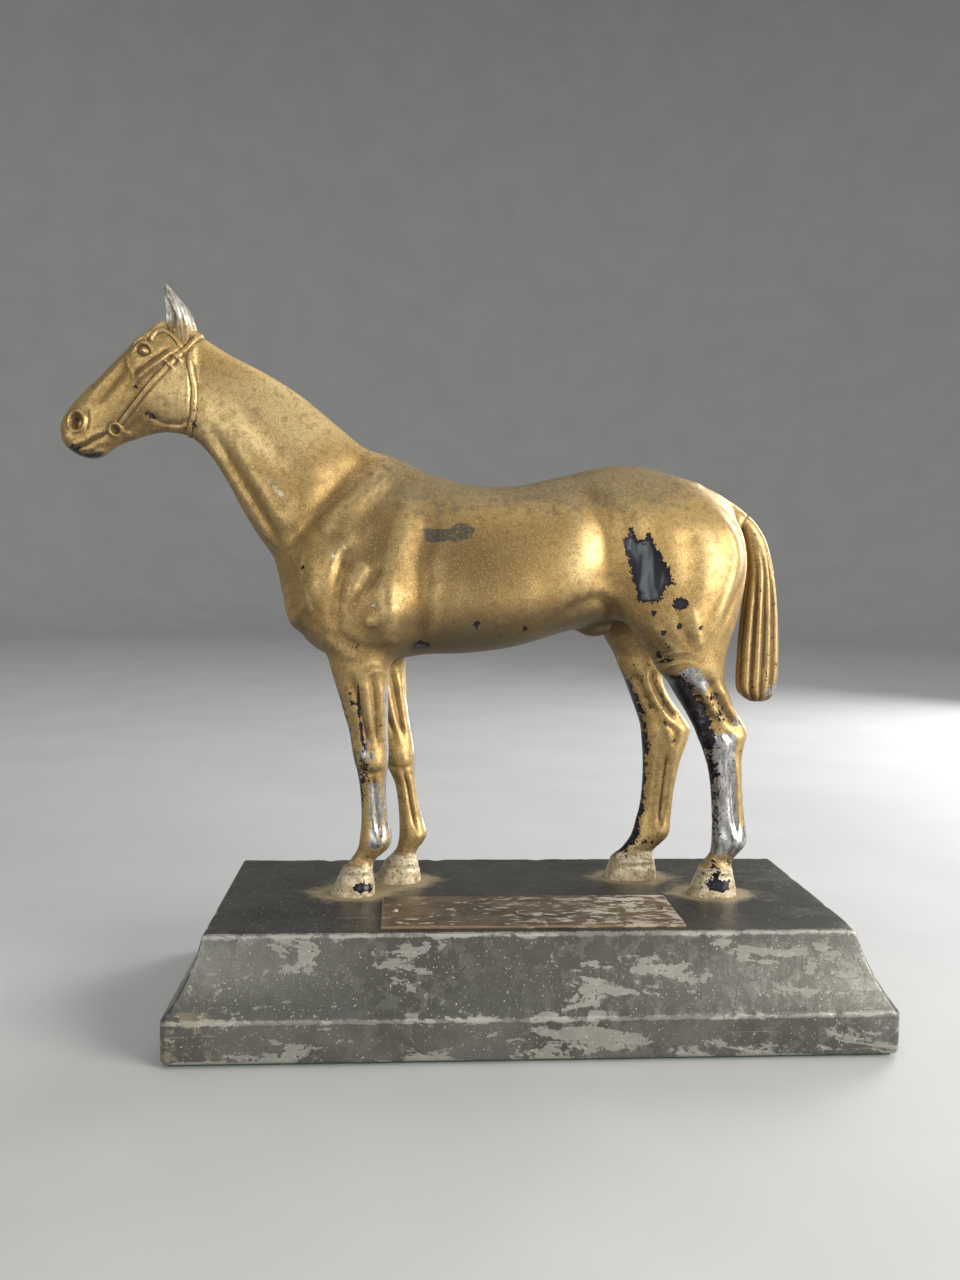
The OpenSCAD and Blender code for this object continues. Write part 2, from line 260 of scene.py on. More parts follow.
def along_path(grid, points):
    """Distance of each (x, z) to a path, signed by the side it is on, and how far along it (0 to 1)."""
    rows = smooth(points, 4) if len(points) > 2 else np.array(points, float)
    lengths = np.hypot(*np.diff(rows, axis=0).T)
    total, done = lengths.sum(), 0
    best = np.full(grid.x2.shape, np.inf)
    place, side = np.zeros_like(best), np.ones_like(best)
    for (ax, az), (bx, bz), length in zip(rows[:-1], rows[1:], lengths, strict=True):
        ux, uz = (bx - ax) / length, (bz - az) / length
        rx, rz = grid.x2 - ax, grid.z2 - az
        t = np.clip(rx * ux + rz * uz, 0, length)
        d = np.hypot(rx - t * ux, rz - t * uz)
        nearer = d < best
        best = np.where(nearer, d, best)
        place = np.where(nearer, (done + t) / total, place)
        side = np.where(nearer, np.sign(ux * rz - uz * rx), side)
        done += length
    return best * side, place


def ridge(grid, points, width, height):
    """A rounded ridge along a path, or a groove where height is negative, fading out towards its ends."""
    distance, place = along_path(grid, points)
    fade = np.clip(np.minimum(place, 1 - place) / 0.18, 0, 1)
    fade = 0.25 + 0.75 * ease(fade)
    return height * fade * np.exp(-((distance / width) ** 2))


def mound(grid, centre, radii, height, turn=0):
    """A soft swelling, or a hollow where height is negative."""
    dx, dz = grid.x2 - centre[0], grid.z2 - centre[1]
    c, s = math.cos(math.radians(turn)), math.sin(math.radians(turn))
    return height * np.exp(-(((dx * c + dz * s) / radii[0]) ** 2 + ((dz * c - dx * s) / radii[1]) ** 2))


def strap(grid, points, width, height=0.6, groove=0.4):
    """A flat strap with a narrow groove beside it on both edges."""
    distance, _ = along_path(grid, points)
    d = np.abs(distance)
    raised = height / (1 + np.exp((d - width / 2) / 0.12))
    return raised - groove * np.exp(-(((d - width / 2 - 0.3) / 0.28) ** 2))


def surface_net(field, grid):
    """Quads of the field's zero surface, one vertex per cell that it crosses."""
    inside = field < 0
    cells = np.zeros(tuple(n - 1 for n in field.shape), np.int8)
    corners = [(i, j, k) for i in (0, 1) for j in (0, 1) for k in (0, 1)]
    for i, j, k in corners:
        cells += inside[i:i + cells.shape[0], j:j + cells.shape[1], k:k + cells.shape[2]]
    active = (cells > 0) & (cells < 8)
    index = np.full(cells.shape, -1, np.int32)
    index[active] = np.arange(active.sum())
    at = np.argwhere(active)
    total, count = np.zeros((len(at), 3)), np.zeros(len(at))
    for a in corners:
        for axis in range(3):
            if a[axis]:
                continue
            b = tuple(v + (n == axis) for n, v in enumerate(a))
            fa = field[tuple((at + a).T)]
            fb = field[tuple((at + b).T)]
            cross = (fa < 0) != (fb < 0)
            t = np.where(cross, fa / np.where(cross, fa - fb, 1), 0)
            point = np.tile(np.array(a, float), (len(at), 1))
            point[:, axis] += t
            total += point * cross[:, None]
            count += cross
    vertices = grid.lo + grid.step * (at + total / count[:, None])
    quads = []
    for axis in range(3):
        other = [n for n in range(3) if n != axis]
        low = [slice(None)] * 3
        high = [slice(None)] * 3
        low[axis], high[axis] = slice(None, -1), slice(1, None)
        change = inside[tuple(low)] != inside[tuple(high)]
        for n in other:
            edge = [slice(None)] * 3
            edge[n] = 0
            change[tuple(edge)] = False
            edge[n] = -1
            change[tuple(edge)] = False
        at = np.argwhere(change)
        starts_inside = inside[tuple(low)][tuple(at.T)]
        ring = []
        for du, dv in ((0, 0), (1, 0), (1, 1), (0, 1)):
            shift = np.zeros(3, int)
            shift[other[0]], shift[other[1]] = du, dv
            ring.append(index[tuple((at - shift).T)])
        ring = np.stack(ring, 1)
        flip = starts_inside if axis != 1 else ~starts_inside
        quads.append(np.where(flip[:, None], ring, ring[:, ::-1]))
    return vertices, np.concatenate(quads)


def edges_of(quads):
    pairs = np.concatenate([quads[:, [0, 1]], quads[:, [1, 2]], quads[:, [2, 3]], quads[:, [3, 0]]])
    pairs = np.sort(pairs, axis=1)
    return np.unique(pairs, axis=0)


def relaxed(values, edges, rounds):
    """Each vertex moved to its neighbours' mean, so many times over."""
    count = np.bincount(edges.ravel(), minlength=len(values))[:, None]
    for _ in range(rounds):
        total = np.stack([np.bincount(edges[:, 0], column[edges[:, 1]], len(values))
                          + np.bincount(edges[:, 1], column[edges[:, 0]], len(values))
                          for column in values.T], 1)
        values = values + 0.5 * (total / np.maximum(count, 1) - values)
    return values


def mesh_piece(name, vertices, quads, material, replaced, attributes):
    """A Blender object from points in millimetres, riding on the frame in place of its CAD nodes."""
    mesh = bpy.data.meshes.new(name)
    mesh.vertices.add(len(vertices))
    mesh.vertices.foreach_set("co", (vertices * MM).astype(np.float32).ravel())
    mesh.loops.add(quads.size)
    mesh.loops.foreach_set("vertex_index", quads.astype(np.int32).ravel())
    mesh.polygons.add(len(quads))
    mesh.polygons.foreach_set("loop_start", np.arange(len(quads), dtype=np.int32) * 4)
    mesh.polygons.foreach_set("use_smooth", np.ones(len(quads), bool))
    mesh.update(calc_edges=True)
    mesh.validate()
    for key, values in attributes.items():
        attribute = mesh.attributes.new(key, "FLOAT", "POINT")
        attribute.data.foreach_set("value", values.astype(np.float32))
    mesh.materials.append(material)
    piece = bpy.data.objects.new(name, mesh)
    bpy.context.collection.objects.link(piece)
    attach(piece, "root")
    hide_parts(*replaced)
    return piece


# ---------------------------------------------------------------- the horse
# Stations are [top x, top z, foot x, foot z, half width, middle y, egg, power], y from the median plane.
# egg over 0 is wider at the top, power over 2 is squarer.
def centred(*rows):
    """Stations on the median plane, from rows without the middle y, and without an egg and power of 0, 2."""
    return [(*row[:5], 0, *(row[5:] or (0, 2))) for row in rows]


TRUNK = centred(
    (-88.3, 158, -87.2, 147, 4), (-85, 168, -82.6, 135, 12, -0.1, 2),
    (-77, 182, -75, 127.8, 17.5, -0.25, 2.1), (-66, 192.6, -64, 124.6, 20.5, -0.4, 2.1),
    (-52, 197.8, -50, 124.8, 22, -0.5, 2.1), (-37, 193.4, -36, 126.9, 24, -0.4, 2.1),
    (-22, 189.4, -21, 127.6, 26, -0.25, 2.2), (-5, 189.2, -4, 130.1, 27.3, -0.18, 2.2),
    (11, 192.7, 13, 135.3, 27, -0.12, 2.2), (25, 196.3, 27, 139, 25.6, -0.08, 2.2),
    (38, 197.6, 39, 142, 26, -0.1, 2.1), (50, 195.3, 51, 141, 25.6, -0.15, 2.1),
    (62, 191.2, 64, 141, 22, -0.2, 2), (72, 186.2, 74, 146, 15, -0.2, 2), (78.4, 177, 79.6, 156, 6))
NECK = centred(
    (-119.5, 241.3, -123.3, 206, 7.2, -0.1, 2), (-108, 234.2, -115.5, 198.8, 7.8, -0.25, 2),
    (-95, 227.8, -109, 189, 9, -0.3, 2), (-82, 219.8, -103, 178, 11, -0.35, 2),
    (-70, 210.2, -97, 168.5, 14, -0.4, 2), (-58, 200.6, -89.5, 158, 17.5, -0.45, 2),
    (-47, 194, -82, 142, 20, -0.5, 2))
HEAD = centred(
    (-119.5, 241.3, -123.3, 206, 7.2, -0.1, 2), (-126, 244, -126.5, 206, 8.3),
    (-131.5, 245.4, -130.5, 206.5, 9.4, 0.05, 2.1), (-137, 241.2, -134.3, 205.9, 10.2, 0.15, 2.2),
    (-142.3, 236.3, -138.3, 204.8, 9.6, 0.2, 2.2), (-148.3, 230.4, -142.8, 203, 8.2, 0.12, 2.2),
    (-154, 224.6, -147.2, 200.8, 6.9, 0.08, 2.2), (-159.6, 219.3, -151.6, 198.2, 6.2, 0.05, 2.2),
    (-164.2, 213.8, -155.8, 196.1, 6, 0, 2.3), (-167.2, 208.2, -160.8, 196.9, 5.4, 0, 2.3),
    (-167, 203, -164.6, 199.2, 3.2))
DOCK = centred(
    (60, 188, 56, 172, 6), (68, 187.8, 62, 174, 5.4), (76.4, 185.2, 70.6, 175.2, 4.6),
    (83.4, 180.2, 78.4, 175.8, 3.9))
TAIL = centred(
    (83.4, 180.2, 78.4, 175.8, 4.1), (86.6, 177, 80.6, 173.2, 4.3), (90.3, 171, 82.3, 167.2, 4.9, 0, 2.2),
    (93.3, 161, 83.4, 159.5, 5.3, 0, 2.3), (95.2, 149, 82.6, 149, 5.6, 0, 2.4),
    (96.3, 136, 81.4, 136, 5.8, 0, 2.4), (96.7, 124, 80.9, 124, 5.7, 0, 2.4),
    (96.2, 115, 81, 115.5, 5.3, 0, 2.3), (94.8, 111.6, 83, 112.2, 4.2, 0, 2.1),
    (91.6, 110, 86, 110.2, 2.2))


def upright(*rows):
    """Level stations from rows of [z, front, back, half width, middle y], and a power that isn't 2."""
    return [(front, z, back, z, half, y, 0, *(power or [2])) for z, front, back, half, y, *power in rows]


SHOULDER_LEFT = upright(
    (170, -74, -56, 9, -8), (160, -79, -49, 11.5, -10), (150, -80.5, -46, 12.2, -11.5),
    (138, -77.5, -45, 11, -13), (130, -72.4, -48, 9, -13.8), (123, -68.4, -51.4, 6.6, -13.8),
    (116, -65, -54, 4, -13.2))
SHOULDER_RIGHT = upright(
    (170, -74, -54, 9, 8), (160, -78, -47, 11.5, 10), (150, -78, -44, 12.2, 11.5),
    (138, -72.5, -43.5, 11, 13), (130, -67.4, -44.8, 9, 13.8), (123, -62.4, -46, 6.6, 13.8),
    (116, -58, -47.4, 4, 13))
THIGH_LEFT = upright(
    (189, 50, 62, 4, -6), (182, 43, 71.6, 9.2, -8.4), (174, 38, 77.4, 12.6, -10.6),
    (165, 36, 79.2, 14.2, -12.3), (156, 34.5, 78.6, 14.2, -13.6), (148, 34.5, 77, 13.4, -14.6),
    (140, 36.8, 75, 12.2, -15.3), (132, 41.6, 72.2, 10.4, -15.4), (124, 49, 69.2, 7.8, -15),
    (116, 57, 69.6, 4.4, -14))
THIGH_RIGHT = upright(
    (189, 50, 62, 4, 6), (182, 42, 71.6, 9.2, 8.4), (174, 36, 76, 12.6, 10.6), (165, 34, 78, 14.2, 12.3),
    (156, 31, 75.5, 14.2, 13.6), (148, 29.8, 72, 13.4, 14.6), (140, 30.2, 66.5, 12.2, 15.3),
    (132, 33.6, 59.8, 10.4, 15.4), (124, 40, 54.8, 7.8, 15), (116, 45, 52.6, 4.4, 14.2))
FORE_LEFT = upright(
    (132, -70.5, -50.4, 7, -13.8), (124, -70.6, -49.8, 8.3, -13.8), (118, -69.2, -49.9, 7.7, -13.3),
    (112, -67.3, -50, 7, -12.6), (106, -65.7, -50, 6.5, -11.9), (100, -64, -50, 5.8, -11.1),
    (95, -63.2, -49.8, 5.8, -10.5), (91.5, -62.6, -49.7, 6, -10.1), (88, -61.9, -49.8, 5.9, -9.9),
    (84.5, -61, -50.2, 5.1, -9.7), (80, -60.2, -50.6, 4.3, -9.5), (74, -59.6, -50.4, 3.9, -9.2),
    (68, -59.4, -49.8, 3.8, -9), (63.5, -59.6, -48.8, 4.3, -8.8), (60, -60, -48.4, 4.9, -8.7),
    (57, -60.4, -49, 4.8, -8.6), (54.5, -61.5, -51.4, 4.1, -8.5), (52, -63.2, -54.2, 4, -8.4),
    (50, -65, -55.1, 4.7, -8.3), (48.4, -66.4, -55.2, 5.9, -8.2, 2.2), (46.6, -67.3, -54.9, 6, -8.1, 2.3),
    (43, -69, -54.5, 6.5, -8, 2.4), (39, -70.6, -54.3, 7, -8, 2.4))
FORE_RIGHT = upright(
    (132, -66, -46.4, 7, 13.8), (124, -64.5, -44.2, 8.3, 13.8), (117, -62, -43.8, 7.7, 13.2),
    (110, -59.5, -43.2, 7, 12.5), (103, -57, -42.2, 6.4, 11.8), (97, -54.6, -41.2, 5.8, 11.2),
    (92, -53.2, -40.4, 5.9, 10.7), (87.6, -52.2, -39.8, 6, 10.3), (84, -51, -39.9, 5.7, 10.1),
    (80, -49, -39.8, 4.9, 9.8), (76, -47.4, -39.3, 4.2, 9.6), (70, -46.4, -38.3, 3.9, 9.3),
    (64.5, -45.9, -37, 3.9, 9.1), (60.5, -45.7, -35.8, 4.6, 8.9), (57.5, -45.7, -35.1, 4.9, 8.7),
    (54.5, -46, -36.3, 4.6, 8.6), (52, -46.6, -38.3, 4, 8.5), (49.8, -48.2, -39.1, 4.4, 8.4),
    (47.8, -50.2, -38.9, 5.7, 8.3, 2.2), (46, -51.6, -38.3, 6, 8.3, 2.3),
    (42.5, -53.2, -37.6, 6.5, 8.2, 2.4), (39, -54.9, -37.3, 7, 8.2, 2.4))
HIND_LEFT = upright(
    (134, 44, 71.2, 8.4, -15.4), (125, 46, 71.4, 9.6, -15), (119, 51, 72, 8.4, -14.3),
    (114, 54.2, 74, 7.4, -13.6), (109, 57.6, 76.3, 6.6, -13), (105, 60, 78.8, 6, -12.6),
    (101.5, 62, 81, 5.8, -12.3), (98.5, 63.3, 81.3, 5.9, -12.1), (95, 64.9, 80.7, 5.8, -12),
    (91, 66.3, 80.2, 5.2, -11.9), (86, 67.8, 80.3, 4.6, -11.8), (80, 68.8, 80.7, 4.2, -11.6),
    (74, 69.4, 81.3, 4, -11.4), (68, 69.8, 82, 4.1, -11.3), (63.5, 70, 82.7, 4.6, -11.2),
    (60, 70, 82.9, 5.1, -11.2), (57, 69.9, 81.9, 5, -11.1), (54.5, 69.4, 79.8, 4.4, -11.1),
    (52, 67.6, 77.9, 4.2, -11), (50, 66.2, 77.6, 4.8, -11), (48, 65.1, 78, 5.9, -11, 2.2),
    (46, 64.3, 78.5, 6.1, -11, 2.3), (42.5, 62.9, 79.2, 6.6, -11, 2.4), (39, 61.4, 79.4, 7, -11, 2.4))
HIND_RIGHT = upright(
    (134, 35.6, 57.6, 8.4, 15.4), (124, 38, 57.2, 9.4, 15), (117, 40.9, 55.8, 8.2, 14.3),
    (111, 43.2, 58, 7.2, 13.7), (106, 45.1, 61.4, 6.5, 13.3), (101, 46.9, 65.1, 6, 12.9),
    (97.5, 47.7, 66.8, 5.8, 12.6), (94, 48, 66.3, 5.9, 12.4), (90, 48.3, 65, 5.7, 12.2),
    (85, 48.6, 63.3, 5, 12.1), (79, 48.6, 62, 4.4, 11.9), (73, 48.3, 61, 4.1, 11.8),
    (67, 47.6, 60.4, 4, 11.7), (62, 46.3, 60, 4.4, 11.6), (58, 45.3, 59.7, 5, 11.5),
    (55, 44.2, 58.5, 5, 11.5), (52.5, 42.4, 55.9, 4.5, 11.4), (50, 40.2, 53.5, 4.3, 11.4),
    (48.3, 37.9, 53.2, 5.3, 11.3, 2.2), (46.5, 36.6, 53.7, 6, 11.3, 2.3),
    (43, 35.4, 54.3, 6.5, 11.2, 2.4), (39, 34, 54.6, 7, 11.2, 2.4))

# How far past its own bounds a shape is worked out, and the distance where there is none.
REACH = 9
FAR = 30
# Each shape with how softly it blends into those before it, in millimetres: lofts, then balls with their
# centres and radii, which are the sheath and the two halves of the breast.
LOFTS = [(TRUNK, 1), (NECK, 9), (HEAD, 3), (SHOULDER_LEFT, 7), (SHOULDER_RIGHT, 7), (THIGH_LEFT, 8),
         (THIGH_RIGHT, 8), (FORE_LEFT, 3), (FORE_RIGHT, 3), (HIND_LEFT, 3), (HIND_RIGHT, 3), (DOCK, 5)]
BALLS = [((26, 0, 138.2), (6.6, 4.2, 4.2), 3),
         ((-82.5, -7.5, 148), (5.2, 7, 12), 4), ((-82.5, 7.5, 148), (5.2, 7, 12), 4)]


def bounds_of(stations):
    rows = np.array(stations, float)
    xs, zs = rows[:, [0, 2]], rows[:, [1, 3]]
    low = (xs.min(), (rows[:, 5] - rows[:, 4]).min(), zs.min())
    high = (xs.max(), (rows[:, 5] + rows[:, 4]).max(), zs.max())
    return np.array(low) - REACH, np.array(high) + REACH


class SideView:
    """Points moved along the main camera's lines of sight onto the median plane, from half before it.

    The brushes' places are those of this view."""

    def __init__(self, points, half):
        eye_x, eye_z = EYE[0], EYE[2] - SHIFT[2]
        to_median = MEDIAN_Y - EYE[1]
        scale = to_median / (to_median - half)
        self.x2 = eye_x + (points.x2 - eye_x) * scale
        self.z2 = eye_z + (points.z2 - eye_z) * scale


def body_half_width(x):
    return np.interp(x, (-122, -95, -72, -50, -5, 40, 62, 82), (8, 10, 17, 22, 27, 27, 24, 10))


def strokes(view, marks):
    """The sum of a list's ridges and mounds: a ridge starts with its path, a mound with its centre."""
    total = 0
    for mark in marks:
        brush = ridge if isinstance(mark[0], list) else mound
        total = total + brush(view, *mark)
    return total


# Muscles and hollows of the neck, shoulder, barrel and haunch, as seen from the side.
JUGULAR = [(-117, 211.5), (-111.3, 201.8), (-106.9, 194.9), (-101.9, 186.9), (-96.3, 177.9),
           (-92, 170.5), (-89.2, 161.8)]
VALLEY = [(-56, 201), (-62, 195), (-68.5, 188.3), (-76, 180), (-83, 171.5), (-88.5, 163.5)]
REAR = [(71.5, 183), (74.6, 177.5), (77, 171.5), (77.8, 163.6), (76, 155), (73.4, 147.2), (70.4, 137.5)]
TORSO_MARKS = [
    (JUGULAR, 1.7, -0.8), (JUGULAR, 4.5, -0.7),
    ([(-119, 205.5), (-112.8, 196.2), (-106.6, 187), (-99, 176), (-94, 167)], 2.2, 0.7),
    ([(-107.4, 205.5), (-100.3, 192), (-92.6, 179), (-86.2, 171)], 3.2, 0.75),
    ([(-104, 216), (-92.3, 205.2), (-82.3, 197.4), (-76.2, 189.4)], 6.5, 0.9),
    ([(-111, 218), (-104, 208), (-96, 198), (-88, 187)], 3, -0.45), (VALLEY, 6.0, -2.3),
    (VALLEY[2:], 2.6, -0.6),
    ([(-51, 197), (-56.5, 191), (-63.2, 184.4), (-69.6, 178.2), (-76.5, 170.5)], 3.4, 1.15),
    ([(-47, 191), (-53, 184.6), (-59.5, 177), (-64.5, 169)], 2.8, -0.9),
    ([(-40, 191), (-45.2, 178), (-48.8, 165), (-50.6, 154), (-49.4, 144)], 4.8, 1.5),
    ([(-66.6, 164.5), (-68.2, 157), (-69.1, 149.8), (-69.3, 143), (-68.4, 135)], 2.2, -0.8),
    ((-65.8, 161.2), (2.7, 3.6), -0.9),
    ([(-71.6, 171), (-71.2, 159), (-70.9, 147.5), (-70.2, 139)], 2.6, 0.25),
    ((-77.5, 152), (4.6, 9), 1.3), ((-62, 150), (5.5, 6), 0.5),
    ([(-80.9, 164.5), (-82.4, 157.6), (-80.4, 149.7), (-77.6, 140)], 0.7, 0.4),
    ([(-53, 160.5), (-56, 155.5), (-59.3, 151.2), (-63.6, 144.6)], 2.2, -0.7),
    ([(-58.2, 161), (-62.6, 154), (-65.8, 146)], 2.6, 0.8), ((-51, 142.5), (6.2, 10), 2.3),
    ((-56.5, 138.9), (2.9, 2.8), 0.6), ([(-49.6, 146), (-49.2, 137), (-50, 129)], 3.2, 0.7),
    ([(-59.3, 141), (-59.5, 138), (-57.3, 135.9), (-54, 136.9)], 0.5, -0.4),
    ([(-69.6, 137), (-66.5, 133), (-62, 130.2), (-56, 128.4), (-48.5, 127.8)], 2.2, -0.45),
    ([(-33, 180), (-38, 164), (-38, 153.6), (-38.8, 142.2), (-41, 129)], 4.6, -1.8),
    ([(-75, 134), (-69, 129), (-62, 126)], 2.4, 0.6),
    ([(23, 192), (26.6, 182.5), (29.6, 174), (31, 165.5), (31, 157), (30, 148)], 5.8, -1.9),
    ([(14, 142.6), (19, 144.8), (23.3, 147), (28.5, 148.4), (32, 145.6), (36, 140)], 2.2, -0.9),
    ((33, 187), (7, 5), 1.0), ((41, 176), (5, 9), 0.6, 15), ((46, 158), (8, 16), 0.9, 12),
    ((40.5, 141), (4.2, 6), 0.8, 30), ([(60, 176), (62, 165), (62, 154), (60, 143)], 4.5, -0.6),
    (REAR, 1.9, 0.8), ([(x + 2.9, z) for x, z in REAR], 1.0, -0.45),
    ([(x - 4, z) for x, z in REAR], 2.6, -0.35), ([(57, 144), (59.5, 137), (63, 130)], 1.3, -0.6),
    ([(62.5, 145), (64.5, 137), (67, 129)], 1.5, 0.7), ([(50, 139), (54, 132), (59, 128.5)], 1.6, 0.5),
    ([(-30, 150), (-10, 147), (8, 151)], 10, 0.7)]

# Hairline ridges of solder where the near legs meet the body.
SEAM_MARKS = [
    ([(50, 123.5), (53.4, 126.2), (56.8, 128.4), (62.1, 128.9), (66.5, 126.6)], 0.5, 0.4),
    ([(54, 122), (56.1, 123.6), (60.4, 125), (64.8, 124.2)], 0.5, 0.4),
    ([(-60, 121.6), (-56, 123.2), (-52, 121.4)], 0.5, 0.35),
    ([(-57.5, 118.6), (-54, 120.4), (-51.5, 119)], 0.5, 0.35)]

# A foreleg's tendons and bones: x runs from -5.5 at its front to 5.5 at its back.
FORE_MARKS = [
    ([(-1.6, 121), (-1, 110), (-0.6, 101), (-0.2, 94)], 0.9, -0.9),
    ([(2.4, 122), (2.5, 112), (2.3, 102), (2.2, 95)], 0.8, -0.9),
    ([(0.7, 120), (0.9, 108), (0.8, 98)], 0.9, 0.5), ([(4.2, 118), (4.2, 106), (4, 95)], 0.8, 0.6),
    ((-2, 90.5), (2.4, 2.6), 0.7), ((2.2, 88.5), (1.7, 3), 0.6),
    ([(-5, 86), (0, 85), (4, 86)], 0.8, -0.35),
    ([(0.6, 85), (0.7, 75), (0.9, 66), (1.6, 61)], 0.75, -0.95),
    ([(3.1, 84), (3.2, 74), (3.2, 66)], 0.8, 0.55), ((2.2, 60), (2.6, 2.4), 0.5),
    ([(-5.5, 49), (0, 49.3), (5.5, 49)], 0.7, 0.5), ([(-5.5, 47.2), (0, 47.4), (5.5, 47)], 0.55, -0.45),
    ([(-4, 53.5), (1, 52.6), (5, 53)], 1.0, -0.35)]

# A hind leg's tendons and bones, in the same terms.
HIND_MARKS = [
    ([(1.6, 122), (1.9, 114), (2.3, 107), (2.8, 101)], 1.1, -1.3),
    ([(3.9, 118), (4.2, 110), (4.4, 103)], 0.9, 0.8), ([(-2.4, 120), (-2, 112), (-1.2, 104)], 1.0, -0.7),
    ([(-0.4, 121), (-0.1, 112), (0.3, 104)], 1.1, 0.5), ((-1.6, 97), (2.6, 3.4), 0.8),
    ((3.8, 99), (1.8, 3), 0.6), ([(-0.2, 101), (1.4, 97), (1.6, 92)], 0.8, -0.6),
    ([(0.4, 91), (0.7, 80), (0.9, 70), (1.4, 62)], 0.8, -1.05),
    ([(3.0, 91), (3.2, 80), (3.3, 68)], 0.8, 0.6), ([(-2.6, 90), (-2.4, 78), (-2.2, 66)], 1.2, 0.4),
    ((2.0, 60), (2.8, 2.6), 0.6), ([(-5.5, 48.8), (0, 49), (5.5, 48.6)], 0.7, 0.5),
    ([(-5.5, 47), (0, 47.1), (5.5, 46.7)], 0.55, -0.45), ([(-4, 53.5), (1, 52.4), (5, 53)], 1.0, -0.4)]


# Each leg's stations, its marks, its side and how much lower its joints are than the near leg's.
LEGS = [(FORE_LEFT, FORE_MARKS, -1, 0), (FORE_RIGHT, FORE_MARKS, 1, 2.2),
        (HIND_LEFT, HIND_MARKS, -1, 0), (HIND_RIGHT, HIND_MARKS, 1, 2)]


def head_relief(g):
    """The face's bones and features, and the bridle over them."""
    r = strokes(g, [
        ((-129, 219), (7.5, 9), 1.0),
        ([(-121.8, 212), (-124.5, 210.2), (-128.5, 209.6), (-133.2, 210.3), (-138.2, 213)], 0.9, -0.5),
        ([(-124, 207.6), (-131, 208), (-139, 206), (-147, 202.6)], 1.4, 0.35),
        ([(-139, 211), (-144, 208), (-149, 203)], 1.6, -0.45),
        ([(-126.4, 236.2), (-130.6, 232.4), (-135.4, 228.4), (-139.4, 225), (-141.8, 222.6)], 1.05, 1.8),
        ([(-129.5, 236.4), (-134.2, 232.6), (-138.6, 228.8), (-142.4, 225.6)], 0.8, -0.6),
        ([(-143.8, 229.5), (-149.8, 223), (-156.5, 216)], 2.0, -0.7),
        ([(-145.4, 232.6), (-151.5, 226.4), (-158.5, 219.4)], 1.2, 0.35),
        ((-138.7, 234.7), (3.4, 2.8), -0.9), ((-138.5, 234.7), (1.2, 1.05), 1.7)])
    rim = np.hypot((g.x2 + 138.5) / 2.1, (g.z2 - 234.7) / 1.7)
    r -= 0.55 * np.exp(-((rim - 1) / 0.2) ** 2)
    r += strokes(g, [
        ([(-142.8, 233.2), (-141.6, 236), (-139.4, 237.6), (-136.9, 236.9), (-134.9, 234.2)], 0.5, 0.65),
        ([(-142.8, 233.2), (-141.2, 232.3), (-139, 231.9), (-136.6, 232.5), (-134.9, 234)], 0.4, 0.4),
        ([(-143.6, 236.6), (-141.5, 239), (-138.5, 240.4), (-135, 239.6)], 1.1, 0.9),
        ((-133.3, 240.4), (1.9, 1.7), -0.5),
        ([(-144.4, 232.8), (-143.6, 229), (-142, 226.6), (-142.2, 223.6)], 0.5, 0.5)])
    mouth = [(-165, 199.6), (-162.4, 200.7), (-159.8, 201.8), (-156.9, 203.7), (-152.2, 205.6)]
    r += strokes(g, [
        (mouth, 0.5, -1.1), ([(x, z + 1.25) for x, z in mouth], 0.7, 0.4),
        ([(-163, 198.7), (-161, 199.7), (-158.9, 199.7), (-156.5, 201.4), (-153.2, 203)], 0.75, 0.65),
        ((-155.6, 199), (2.4, 1.6), 0.6), ([(-160.2, 197.4), (-159, 198.6), (-157.6, 199.4)], 0.6, -0.6),
        ((-163.3, 209.6), (2.0, 2.6), -2.8, -20), ((-162.2, 209.2), (0.7, 1.3), 1.5, -15)])
    nostril = np.hypot((g.x2 + 163.2) / 3.0, (g.z2 - 209.6) / 3.6)
    r += 0.95 * np.exp(-((nostril - 1) / 0.19) ** 2)
    r += strokes(g, [
        ([(-159.4, 214.4), (-158.6, 210.4), (-159.4, 206)], 0.6, -0.45), ((-166, 204.4), (2, 2), 0.5)])
    brow = [(-136, 238.9), (-134.6, 241.7), (-131.8, 242.6), (-129.1, 241.3), (-126.8, 238.7),
            (-124.5, 235)]
    cheek = [(-116, 246.4), (-121, 240.4), (-125.4, 234.8), (-132.5, 226.6), (-139.6, 218.2),
             (-147, 209.6)]
    throat = [(-122.8, 233), (-121.7, 227.5), (-120.8, 221.5), (-121.1, 216.6), (-121.5, 212.6),
              (-123.3, 207.5), (-125.4, 201)]
    for path, width in ((brow, 1.4), (cheek, 1.8), (throat, 1.8)):
        under = 1 - 0.6 * np.exp(-(along_path(g, path)[0] / width) ** 4)
        r = r * under + strap(g, path, width)
    r += strokes(g, [
        ([(-124.9, 235.9), (-129.9, 241)], 0.3, -0.3), ([(-128.2, 234), (-125.6, 231.7)], 0.6, 1.1),
        ([(-130.7, 231.2), (-128.1, 228.9)], 0.6, 1.1), ((-122.2, 231.4), (1.2, 1.7), 0.6),
        ((-121.1, 216.4), (1.1, 1.3), 0.5), ((-121.1, 216.2), (0.45, 0.6), -0.8)])
    ring = np.hypot(g.x2 + 149.3, g.z2 - 206.9)
    r += 1.2 * np.exp(-((ring - 2.1) / 0.6) ** 2) - 1.2 * np.exp(-(ring / 1.0) ** 2)
    r += ridge(g, [(-147.2, 206.2), (-144.4, 205.6)], 0.8, 0.5)
    return r


class LegView:
    """A side view of a leg squared up: x is how far back in the leg, z is the near leg's height."""

    def __init__(self, grid, stations, drop):
        _, across, _, _ = side_map(grid, stations, 4)
        self.x2 = -5.5 * np.clip(across, -1.6, 1.6)
        self.z2 = grid.z2 + drop * np.clip((100 - grid.z2) / 20, 0, 1)


def faded(grid, edge):
    """0 on the median plane, 1 beyond edge."""
    return ease(np.clip(np.abs(grid.y) / edge, 0, 1))[None, :, None]


